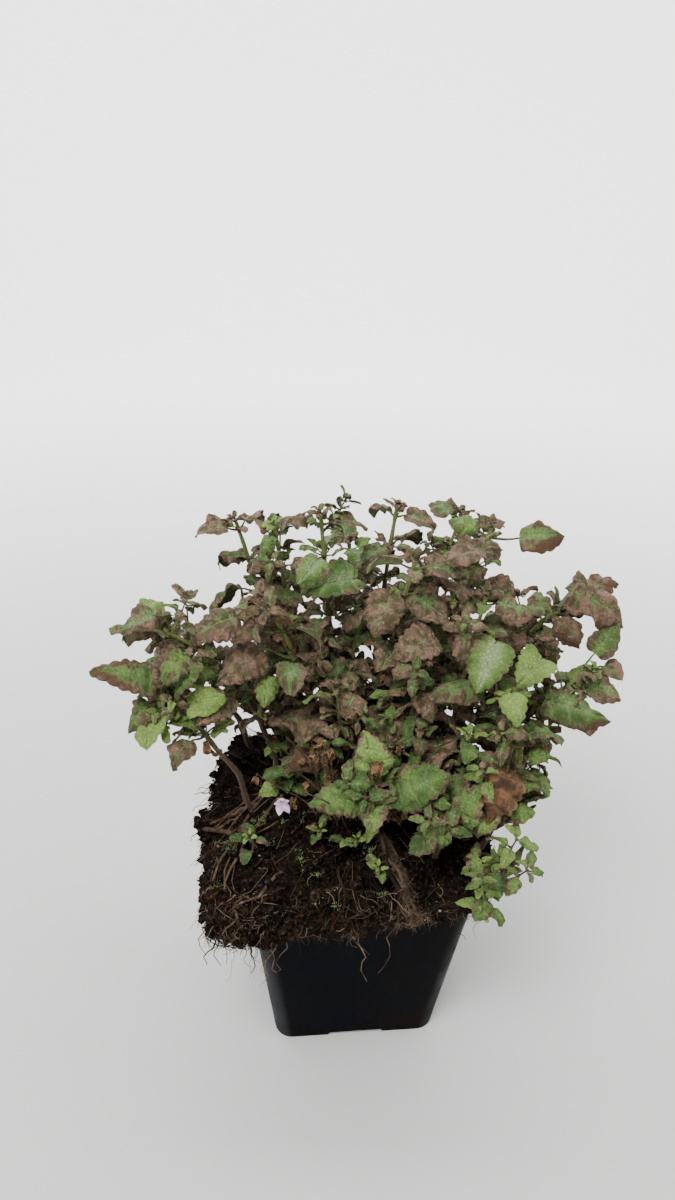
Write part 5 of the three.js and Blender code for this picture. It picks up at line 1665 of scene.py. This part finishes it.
@dataclass
class NurseryPot:
    """The square pot: tapering walls with rounded corners, a rolled lip, feet and drain holes."""

    finish: Finishes
    height: float = 90
    foot_half: float = 32.5
    mouth_half: float = 43.2
    wall: float = 1.2
    foot_corner: float = 7
    mouth_corner: float = 8
    lip: float = 1.3
    lip_height: float = 9
    floor_under: float = 2.6
    floor_top: float = 4
    pad_half: float = 8
    notch_half: float = 11
    notch_height: float = 1.8
    hole_radius: float = 3.2
    hole_offset: float = 20
    corner_parts: int = 9
    side_parts: int = 10

    def half(self, z: float) -> float:
        """Half the pot's width at a height."""
        return mix(self.foot_half, self.mouth_half, z / self.height)

    def corner(self, z: float) -> float:
        """The corner's radius at a height."""
        return mix(self.foot_corner, self.mouth_corner, z / self.height)

    def outline(self, z: float, out: float) -> Array:
        """A ring round the pot.

        Args:
            z: Its height.
            out: How far it stands outside the wall.

        Returns:
            Its points, anticlockwise from above.
        """
        half, radius = self.half(z) + out, max(0.4, self.corner(z) + 0.6 * out)
        arcs = []
        for n, corner in enumerate(CORNERS):
            middle = np.array([*corner, 0]) * (half - radius) + UP * z
            arcs.append([middle + radius * level(math.pi / 2 * (n + k / self.corner_parts))
                         for k in range(self.corner_parts + 1)])
        ring = []
        for arc, after in zip(arcs, arcs[1:] + arcs[:1]):
            ring += arc + [mix(arc[-1], after[0], k / self.side_parts) for k in range(1, self.side_parts)]
        return np.array(ring)

    def wall_reach(self, angle: float, z: float, out: float) -> float:
        """How far the wall is from the pot's middle line in a direction."""
        half, radius = self.half(z) + out, self.corner(z) + 0.6 * out
        a, b, inner = abs(math.cos(angle)), abs(math.sin(angle)), half - radius
        reach = half / max(a, b)
        if min(a, b) * reach > inner:
            total = inner * (a + b)
            reach = total + math.sqrt(max(0.0, total**2 - 2 * inner**2 + radius**2))
        return reach

    def _ring(self, z: float, out: float) -> Array:
        """A ring of the wall, drawn in a little at the middle of each face."""
        ring = self.outline(z, out)
        hollow = 0.55 * math.sin(math.pi * min(1.0, max(0.0, z / (self.height - self.lip_height))))
        for point in ring:
            near = 1 - min(abs(point[0]), abs(point[1])) / self.half(z)
            point[:2] *= 1 - hollow * smoothstep(0.3, 1.0, near) / self.half(z)
        return ring

    def build(self) -> None:
        """Builds the pot."""
        under_lip, top, w = self.height - self.lip_height, self.height, self.wall
        levels = [(self.floor_under, -w), (0.5, -w), (0.0, -w + 0.35), (0.0, -0.35), (0.35, 0.0), (2.4, 0.05),
                  *((z, 0.0) for z in (8, 16, 26, 36, 46, 56, 66, 75)),
                  (under_lip - 1.4, 0.0), (under_lip - 0.5, 0.35), (under_lip, self.lip - 0.2),
                  (under_lip + 0.5, self.lip), (top - 1.4, self.lip), (top - 0.5, self.lip - 0.15),
                  (top, self.lip - 0.7), (top, -w + 0.5), (top - 0.6, -w),
                  (70, -w), (45, -w), (20, -w), (self.floor_top + 1.5, -w), (self.floor_top, -w - 1.2)]
        shell, cutters, pad = Draft(), Draft(), Draft()
        shell.add(*loft([self._ring(z, out) for z, out in levels]))
        for i in range(9):
            x, y = i % 3 - 1, i // 3 - 1
            if x or y:
                drill = np.array([[x * self.hole_offset, y * self.hole_offset, z] for z in (-3.0, 9.0)])
                cutters.add(*tube(drill, np.full(2, self.hole_radius), 20, np.array([1.0, 0, 0])))
        for x, y in ((1, 0), (-1, 0), (0, 1), (0, -1)):
            spread = np.array([self.notch_half if y else 5.0, self.notch_half if x else 5.0, 0])
            middle = np.array([x, y, 0]) * self.foot_half
            profile = [(-2, 1.0), (self.notch_height - 0.5, 1.0), (self.notch_height, 0.94)]
            cutters.add(*loft([middle + spread * np.array([[a, b, 0] for a, b in CORNERS])
                               * np.array([s if y else 1, s if x else 1, 1]) + UP * z for z, s in profile]))
        p = self.pad_half
        pad.add(*loft([np.array([[s * a, s * b, z] for a, b in CORNERS])
                       for s, z in ((p - 0.5, 0.0), (p, 0.5), (p, self.floor_under + 0.6))]))
        shell.piece("pot_shell", [self.finish.plastic], "pot", ["pot"], 40, cut=cutters, join=pad)


@dataclass
class RootBall:
    """The root ball: crumbly peat that mounds over the rim, roots through it and hanging from it."""

    finish: Finishes
    pot: NurseryPot
    centre: Span = (-3, -1.5)
    half_width: float = 51.5
    half_depth: float = 46.5
    squareness: float = 4
    lip_squareness: float = 9
    cover: float = 1.6
    lump_size: float = 2
    front_sag: float = 0.6
    tuft_angle: float = -2.45
    tuft_spread: float = 0.36
    tuft_sag: float = 2.8
    tuft_out: float = 4
    edge_top: float = 82.5
    rows: int = 86
    turns: int = 350
    rings: tuple[Span, ...] = (
        (0.3, 100.4), (0.55, 99), (0.76, 97.6), (0.9, 95.4), (1, 91), (1, 86.6), (0.95, 83))
    crown: float = 101
    gap: float = 0.45
    clod: float = 2.6
    coarse: float = 1.7
    crumb_count: int = 1900
    chip_count: int = 650
    root_count: int = 1500
    fringe_count: int = 310
    runner_count: int = 11
    grain_count: int = 34
    moss_count: int = 90

    def lump(self, angle: float, ring: float) -> float:
        """Smooth lumps of the peat at a direction and a ring."""
        return (math.sin(3 * angle + 1.3 * ring) + 0.8 * math.sin(7 * angle - 2.1 * ring + 1)
                + 0.6 * math.sin(13 * angle + 3.7 * ring + 2))

    def front(self, angle: float) -> float:
        """1 at the front left, where the skirt hangs lowest, and 0 at the back right."""
        return 0.5 + 0.5 * math.cos(angle + 1.8)

    def point(self, angle: float, ring: float, lift: float = 0.0) -> Array:
        """A point of the mound.

        Args:
            angle: Direction from its middle.
            ring: Place from the crown, -1, over the rim, 4, to the skirt's edge, 6.
            lift: How far it stands off the peat.

        Returns:
            The point.
        """
        share, z = (float(np.interp(ring, range(-1, 7), [first, *(r[i] for r in self.rings)]))
                    for i, first in enumerate((0, self.crown)))
        c, s = math.cos(angle), math.sin(angle)
        (x, y), p, q = self.centre, self.squareness, self.lip_squareness
        reach = (abs(c / self.half_width) ** p + abs(s / self.half_depth) ** p) ** (-1 / p)
        lip = (abs(c) ** q + abs(s) ** q) ** (-1 / q) * (self.pot.mouth_half + self.pot.lip)
        least = smoothstep(0.8, 0.9, share) * (
            lip * min(1.02, 1.34 - 0.32 * max(abs(c), abs(s))) + self.cover + abs(x * c + y * s))
        edge, over_rim = share**3, smoothstep(4.0, 5.0, ring)
        bulge = self.lump_size * edge * self.lump(angle, ring)
        off_tuft = math.remainder(angle - self.tuft_angle, 2 * math.pi)
        tuft = smoothstep(3.0, 4.4, ring) * bump(off_tuft, 0, self.tuft_spread)
        r = max(share * reach + bulge, least - (1.5 if share < 0.95 else 0) + max(bulge, 0))
        r += self.tuft_out * tuft
        rise = self.lump_size * (0.5 + 0.6 * edge) * self.lump(angle + 0.4, ring + 1.5)
        rise *= mix(0.4, 1, smoothstep(0.2, 0.4, share)) * mix(1, 0.3, over_rim)
        height = z + rise - over_rim * (self.front(angle) * self.front_sag + self.tuft_sag * tuft)
        if ring > 5.5:
            height = min(height, mix(height, self.edge_top, min(1.0, (ring - 5.5) / 0.5)))
        around = smoothstep(2.6, 4.4, ring)
        r += lift * around
        return np.array([x + r * c, y + r * s, height + lift * (1 - around)])

    def on_peat(self, angle: float, ring: float, lift: float) -> Array:
        """A point that stands off the clods of the peat, at a direction and a ring."""
        flat = self.point(angle, ring)
        clods = self.clod * rough(flat + 7, 19, 2) + self.coarse * rough(flat, 9, 2)
        return self.point(angle, ring, lift + clods)

    def _clear(self, point: Array) -> Array:
        """A point of the skirt, kept outside the pot."""
        pot = self.pot
        if point[2] < pot.height + 1.2:
            low = point[2] < pot.height - pot.lip_height - 0.5
            out = (0.0 if low else pot.lip) + self.gap + 0.2
            least = pot.wall_reach(math.atan2(point[1], point[0]), point[2], out)
            point[:2] *= max(1.0, least / math.hypot(point[0], point[1]))
        return point

    def _skin(self, angle: float, ring: float) -> Array:
        """A point of the peat's crumbly skin.

        Args:
            angle: Direction from the mound's middle.
            ring: Place from the crown to the skirt's edge.

        Returns:
            The point.
        """
        flat = self.point(angle, ring)
        skirt = smoothstep(3.4, 5.0, ring)
        lift = (self.clod * rough(flat + 7, 19, 2) + mix(1.5, 1.9, skirt) * rough(flat, 9, 2)
                + mix(1.2, 1.6, skirt) * rough(flat + 40, 3.2, 4)) * mix(1, 0.5, smoothstep(5.0, 6.0, ring))
        point = self.point(angle, ring, lift)
        if ring > 5.3:
            point[2] -= (ring - 5.3) * 2 * rough(flat * np.array([1, 1, 0]) + 90, 7, 3)
        return self._clear(point)

    def build(self) -> None:
        """Builds the peat itself."""
        pot, turns = self.pot, [2 * math.pi * i / self.turns for i in range(self.turns)]
        rings = [np.array([self._skin(angle, mix(-0.75, 6.0, k / self.rows)) for angle in turns])
                 for k in range(self.rows + 1)]
        angles = [math.atan2(p[1], p[0]) for p in rings[-1]]
        under_lip, inside, gap = pot.height - pot.lip_height, 0.1 - pot.wall - self.gap, self.gap
        for z, out in ((min(under_lip - 2.2, rings[-1][:, 2].max()), gap), (under_lip - 1.4, gap),
                       (under_lip - 0.6, pot.lip + gap), (pot.height + gap, pot.lip + gap),
                       (pot.height + gap, inside), (pot.floor_top + gap, inside)):
            rings.append(np.array([pot.wall_reach(a, z, out) * level(a) + UP * z for a in angles]))
        draft = Draft()
        draft.add(*loft(rings[::-1]))
        draft.piece("peat_mound", [self.finish.peat], "peat", ["root_ball"], 80)

    def crumbs(self) -> None:
        """Adds loose crumbs of peat, half sunk."""
        self._litter(Draws(611), self.crumb_count).piece("peat_crumbs", [self.finish.crumb], "peat")

    def chips(self) -> None:
        """Adds drawn-out chips and shreds."""
        self._litter(Draws(239), self.chip_count, 3.2).piece("peat_chips", [self.finish.chip], "peat")

    def _litter(self, random: Draws, count: int, slim: float = 1.0) -> Draft:
        """Loose bits on the peat.

        Args:
            random: Draws for their places and forms.
            count: How many.
            slim: How drawn out they are.

        Returns:
            Their mesh.
        """
        draft = Draft()
        for _ in range(count):
            angle, ring = random() * 2 * math.pi, random.between(-0.7, 6.1)
            if ring < 4:
                ring = 4 - 4.7 * (random() ** 0.5 if ring < 0 else ring / 4 * 0.98)
            if random() < 0.3:
                angle, ring = self.tuft_angle + random.between(-0.7, 0.5), random.between(3.4, 6.2)
            size = 0.5 + 2.1 * random() ** 3
            centre = self._clear(self.on_peat(angle, ring, random.between(0.0, 2.2)))
            shape = np.array([random.between(0.7, 1.4), random.between(0.6, 1.1), random.between(0.5, 1)])
            shape *= size / slim**0.5
            if slim > 1:
                shape[int(random() * 2.99)] *= slim
            draft.add(*lumpy_ball(centre, shape, random, 3 if size > 1.1 else 2))
        return draft

    def _strand(self, draft: Draft, path: Sequence[Array], radius: float, shade: float, sides: int) -> None:
        """Adds one root along a path, thinner towards its end."""
        radii = radius * np.linspace(1, 0.35, len(path))
        draft.add(*tube(np.array(path), radii, sides), strand_tone=(shade, 0, 0))

    def roots(self) -> None:
        """Adds the roots that run over the peat and out of it."""
        draft, random, steps = Draft(), Draws(333), 6
        for n in range(self.root_count):
            skirt = n % 5 < 4
            angle = random() * 2 * math.pi
            if skirt and random() < 0.5:
                angle = -1.8 + random.between(-1.3, 1.3)
            ring = random.between(3.2, 6.0) if skirt else random.between(-0.4, 3.6)
            heading = random() * 2 * math.pi
            if skirt and random() < 0.6:
                heading = math.pi / 2 + random.between(-0.9, 0.9)
            step = random.between(3, 15 if skirt else 20) / steps
            lift, path = random.between(0.0, 1.6), []
            for _ in range(steps):
                path.append(self._clear(self.on_peat(angle, min(ring, 6.3), lift)))
                heading += random.between(-0.42, 0.42)
                angle += step * math.cos(heading) / 50
                ring += step * math.sin(heading) / (6.5 if ring > 3.5 else 10)
                lift += random.between(-0.5, 0.8)
            if ring > 5.6:
                path += [path[-1] + np.array([random.between(-1, 1), random.between(-1, 1), -1.2 * k])
                         for k in (1, 2)]
            self._strand(draft, path, random.between(0.08, 0.27), random() ** 2.2, 3)
        draft.piece("surface_roots", [self.finish.fibre], "peat")

    def fringe(self) -> None:
        """Adds the roots that hang from the skirt, longest at the front left, and stray ones above."""
        draft, random = Draft(), Draws(77)
        for n in range(self.fringe_count):
            angle = random() * 2 * math.pi
            if n % 3 == 0:
                angle = self.tuft_angle + random.between(-0.3, 0.35)
            length = random.between(1.5, 5) + 16 * self.front(angle) * random() ** 3
            stray = n % 4 == 1
            if stray:
                angle, length = random.between(-3.5, -1.9), random.between(2.5, 8.5)
            ring = random.between(2.2, 5.2) if stray else random.between(5.0, 6.0)
            start = self._clear(self.point(angle, ring, random.between(-0.3, 1.0) + (1.2 if stray else 0)))
            out = level(angle)
            side = np.cross(UP, out)
            swing, sway = random.between(-0.2, 0.5) + (0.7 if stray else 0), random.between(-0.5, 0.5)
            path = []
            for t in np.arange(8) / 7:
                fall = 0.7 * t * t - 0.1 * t if stray else t
                away = swing * t + 0.08 * math.sin(9 * t + n)
                along = sway * t * t + 0.07 * math.sin(11 * t + 2 * n)
                path.append(self._clear(start + length * (out * away + side * along - UP * fall)))
            self._strand(draft, path, random.between(0.12, 0.36), random() ** 1.6, 4)
        draft.piece("root_fringe", [self.finish.fibre], "peat")

    def cords(self) -> None:
        """Adds the old fuzzy roots that hang over the front."""
        draft, random = Draft(), Draws(19)
        bundle = [(-1.245 + random.between(-0.05, 0.05), -1.245 + random.between(-0.12, 0.12),
                   random.between(0.45, 0.95), 0.9, 120) for _ in range(9)]
        single = [(a, b, 0.6, 2.4, 45) for a, b in ((-1.75, -1.6), (-2.2, -2.35), (-0.62, -0.5), (2.6, 2.4),
                                                    (1.1, 1.3))]
        for n, (start, end, thick, ring, fuzz) in enumerate(bundle + single):
            rows = np.linspace(ring, random.between(5.7, 6.4), 16)
            path = [self._clear(self.point(mix(start, end, k / 15) + 0.02 * math.sin(1.3 * k + n), row,
                                           1.3 + 0.8 * math.sin(1.1 * k + 2 * n) + 0.35 * (n % 4)))
                    for k, row in enumerate(rows)]
            self._strand(draft, path, thick, random.between(0.15, 0.55), 5)
            for _ in range(fuzz):
                centre = path[int(random() * 15)]
                way = [random.between(-1, 1), random.between(-1, 0.3), random.between(-1.6, 0.3)]
                way, reach = unit(np.array(way)), random.between(1.2, 4.2)
                bend = np.array([random.between(-0.4, 0.4) for _ in range(3)])
                hair = [centre, centre + way * reach * 0.5, centre + (way + bend) * reach - UP * 0.6]
                self._strand(draft, hair, random.between(0.07, 0.16), random(), 3)
        draft.piece("old_root_cords", [self.finish.fibre], "peat")

    def runners(self) -> None:
        """Adds the old crooked runners that lie over the left of the peat."""
        draft, random, steps = Draft(), Draws(58), np.arange(13)
        for n in range(self.runner_count):
            start, end = random.between(-3.3, -2.5), random.between(-3.2, -2.2)
            first, last = random.between(0.6, 2.2), random.between(3.2, 5.2)
            line = np.array([
                self.on_peat(mix(start, end, t) + random.between(-0.03, 0.03), mix(first, last, t),
                             random.between(0.3, 2.4)) for t in steps / 12])
            for _ in range(2):
                line[1:-1] = (line[:-2] + 2 * line[1:-1] + line[2:]) / 4
            radii = random.between(0.3, 0.8) * np.linspace(1, 0.5, 13) * (1 + 0.2 * np.sin(2.3 * steps + n))
            draft.add(*tube(np.array([self._clear(p) for p in line]), radii, 6))
        draft.piece("old_runners", [self.finish.bark], "peat")

    def grains(self) -> None:
        """Adds the perlite grains."""
        draft, random = Draft(), Draws(905)
        for _ in range(self.grain_count):
            centre = self._clear(self.point(random() * 2 * math.pi, random.between(0, 6), 1.2))
            size = random.between(0.3, 0.7)
            draft.add(*lumpy_ball(centre, size * np.array([1, random.between(0.7, 1), 0.8]), random, 4))
        draft.piece("perlite_grains", [self.finish.grit], "peat")

    def moss(self) -> None:
        """Adds the moss, in little stars and cushions."""
        draft, random, spikes = Draft(), Draws(404), Hairs(404, 0.22)
        for _ in range(self.moss_count):
            angle = random() * 2 * math.pi if random() < 0.4 else -2.1 + random.between(-0.8, 0.8)
            ring = random.between(-0.3, 4.6)
            roots, ways = [], []
            for _ in range(14):
                a, d = random() * ANY_TURN, random.between(0, 0.05)
                roots.append(self.point(angle + d * math.cos(a), ring + 3 * d * math.sin(a), 0.5))
                ways.append(level(a) + UP * random.between(0.4, 1.6))
            spikes.add(draft, np.array(roots), np.array(ways), random.between(0.9, 1.9), 0)
        draft.piece("moss_tufts", [self.finish.moss], "peat")


@dataclass
class LilacFlower:
    """One two-lipped flower on a short stalk, with its hood, forked lip and green calyx."""

    finish: Finishes
    foot: Spot = (-30, -6, 87)
    tip: Spot = (-30, -9, 104)
    petal: float = 7

    def build(self) -> None:
        """Builds the flower."""
        draft = Draft()
        foot, tip = np.array(self.foot, float), np.array(self.tip, float)
        way = unit(np.array([0.2, -0.8, 0.55]))
        side = unit(np.cross(way, UP))
        rise, at = np.cross(side, way), np.linspace(0, 1, 12)
        stalk = np.array([mix(foot, tip, t) + side * 0.3 * math.sin(5 * t) for t in at])
        draft.add(*tube(stalk, np.interp(at, [0, 0.8, 1], [0.9, 0.8, 1.2]), 9, None, 1.5), 1,
                  stem_tone=(0.9, 0.4, 0))
        for a in np.arange(5) * 2 * math.pi / 5:
            out = side * math.cos(a) + rise * math.sin(a)
            tooth = np.array([tip + out * 0.7, tip + out * 1.5 + way * 1.6, tip + out * 2.1 + way * 3.4])
            draft.add(*tube(tooth, np.array([0.75, 0.55, 0.1]), 6), 1, stem_tone=(0.8, 0.6, 0))
        throat = np.array([tip + way * self.petal * 0.62 * t + rise * 0.5 * math.sin(3 * t) for t in at])
        draft.add(*tube(throat, np.interp(at, [0, 0.5, 1], [0.8, 1.0, 1.7]), 12))
        mouth = throat[-2]
        self._lobe(draft, mouth + rise * 0.9, way + 0.9 * rise, rise - 0.5 * way, (5.6, 4.6, 1.5, -0.85))
        for lean in (-1.0, 1.0):
            self._lobe(draft, mouth - rise * 0.8 + side * 0.5 * lean, way - 0.75 * rise + 0.5 * lean * side,
                       way + rise, (4.4, 3.4, 0.9, -0.25))
            self._lobe(draft, mouth + side * 1.3 * lean, 0.6 * way + lean * side, way, (1.8, 1.3, 0.6, 0.1))
        draft.piece("lilac_flower", [self.finish.petal, self.finish.stem], "petal", ["flower"], 70)

    @staticmethod
    def _lobe(draft: Draft, base: Array, along: Array, upper: Array, form: tuple[float, ...]) -> None:
        """Adds one lobe of the flower.

        Args:
            draft: Where it goes.
            base: Its base.
            along: The way it points.
            upper: Its upper side, roughly.
            form: Length, width, droop and fold.
        """
        leaf, g = Leaf.held(Face(base, along), base, along, upper, *form, 0.0), GRIDS[Cut.LARGE]
        gap = 0.22 * (1 - g.t**4) * np.minimum(1, 14 * g.s)
        points = leaf.at(mix(g.u_rib, g.u_edge, g.t), g.side * g.v_edge * g.t, -g.under * gap, 0.3)
        draft.add(points, g.faces)


@dataclass
class Studio:
    """The camera, the pale floor and the soft lights."""

    place: Spot = (-38.5, -271.1, 329.8)
    ahead: Spot = (0.0951, 0.8780, -0.4692)
    over: Spot = (0.0209, 0.4695, 0.8827)
    focal_pixels: float = 893.4
    long_side: float = 1200
    sensor: float = 36
    floor_reach: float = 1.3
    sweep: float = 0.7
    wall_height: float = 1.5
    turns: int = 96
    room: Colour = (0.86, 0.87, 0.86)
    room_light: float = 0.5

    def camera(self) -> None:
        """Makes the camera at the photograph's place."""
        data = bpy.data.cameras.new("camera")
        data.sensor_width = self.sensor
        data.lens = self.focal_pixels * self.sensor / self.long_side
        data.clip_start, data.clip_end = 0.01, 60.0
        made = bpy.data.objects.new("camera", data)
        bpy.context.scene.collection.objects.link(made)
        ahead, over = unit(np.array(self.ahead)), np.array(self.over)
        right = unit(np.cross(ahead, over))
        over = np.cross(right, ahead)
        turn = Matrix([[right[i], over[i], -ahead[i], self.place[i] * MM] for i in range(3)] + [[0, 0, 0, 1]])
        made.matrix_world = turn
        bpy.context.scene.camera = made

    def lights(self) -> None:
        """Makes the soft lights and the pale surroundings."""
        for name, place, size, power in (
            ("key", (-0.55, -0.7, 1.5), 0.7, 41.0), ("fill", (1.1, -0.5, 0.9), 1.2, 5.0),
            ("back", (0.2, 1.2, 1.3), 1.2, 12.0), ("wall", (0.0, 0.5, 1.45), 1.4, 50.0),
        ):
            data = bpy.data.lights.new(name, "AREA")
            data.shape, data.size, data.energy = "SQUARE", size, power
            made = bpy.data.objects.new(name, data)
            made.location = place
            made.rotation_mode = "QUATERNION"
            aim = Vector((0.2, 2.0, 0.45) if name == "wall" else (0, 0, 0.12))
            made.rotation_quaternion = (aim - Vector(place)).to_track_quat("-Z", "Y")
            bpy.context.scene.collection.objects.link(made)
        world = bpy.data.worlds.new("pale_room")
        bpy.context.scene.world = world
        world.use_nodes = True
        back = world.node_tree.nodes["Background"]
        back.inputs["Color"].default_value = (*self.room, 1)
        back.inputs["Strength"].default_value = self.room_light

    def floor(self, tone: Material) -> None:
        """Makes the floor, which turns up into a pale wall all round."""
        turns, profile = self.turns, [(self.floor_reach, 0.0)]
        for k in range(1, 13):
            a = math.pi / 2 * k / 12
            profile.append((self.floor_reach + self.sweep * math.sin(a), self.sweep * (1 - math.cos(a))))
        profile.append((self.floor_reach + self.sweep, self.wall_height))
        rings = [np.array([r * level(a) + UP * z for a in np.linspace(0, 2 * math.pi, turns, endpoint=False)])
                 for r, z in profile]
        points = np.concatenate([np.zeros((1, 3)), *rings])
        faces = [(0, 1 + i, 1 + (i + 1) % turns) for i in range(turns)]
        for k in range(len(rings) - 1):
            for i in range(turns):
                a, b = 1 + k * turns + i, 1 + k * turns + (i + 1) % turns
                faces.append((a, a + turns, b + turns, b))
        mesh = bpy.data.meshes.new("floor")
        mesh.from_pydata(points.tolist(), [], faces)
        mesh.polygons.foreach_set("use_smooth", [True] * len(mesh.polygons))
        mesh.materials.append(tone)
        made = bpy.data.objects.new("floor", mesh)
        bpy.context.scene.collection.objects.link(made)


def stands() -> list[Stand]:
    """All leafy stems and young shoots, laid out as the solids are."""
    made = []
    for i, plan in enumerate(LEAFY_STEMS):
        made.append(Stand(f"leafy_stem_{i + 1:02d}", i + 1, LEAFY, 1.9 * i, plan))
    for i, (foot, tip, leaf, pairs) in enumerate(SHOOTS):
        low, high = np.array(foot, float), np.array(tip, float)
        path = (foot, tuple(mix(low, high, 0.3)), tuple(mix(low, high, 0.6) + UP * 2), tip)
        plan = StemPlan(path, pairs, 0.72, (leaf, leaf * 0.8), 0.3,
                        tints=(PALE, FRESH) if i < 3 else (DEEP,))
        made.append(Stand(f"young_shoot_{i + 1:02d}", len(made) + 1, SHOOT, 1.3 * i, plan))
    return made


def main() -> None:
    """Builds the camera, then every piece."""
    logging.basicConfig(level=logging.INFO, format="%(message)s")
    studio, finish = Studio(), Finishes()
    studio.camera()
    studio.lights()
    studio.floor(StudioFloor().make())
    pot = NurseryPot(finish)
    pot.build()
    ball = RootBall(finish, pot)
    ball.build()
    ball.crumbs()
    ball.chips()
    ball.roots()
    ball.fringe()
    ball.cords()
    ball.runners()
    ball.grains()
    ball.moss()
    for stand in stands():
        LeafyStem(finish, stand).build()
    DryGrowth(finish).build()
    for number, points in enumerate(TWIGS):
        BareTwig(finish, number, points).build()
    LilacFlower(finish).build()


if __name__ == "__main__":
    main()
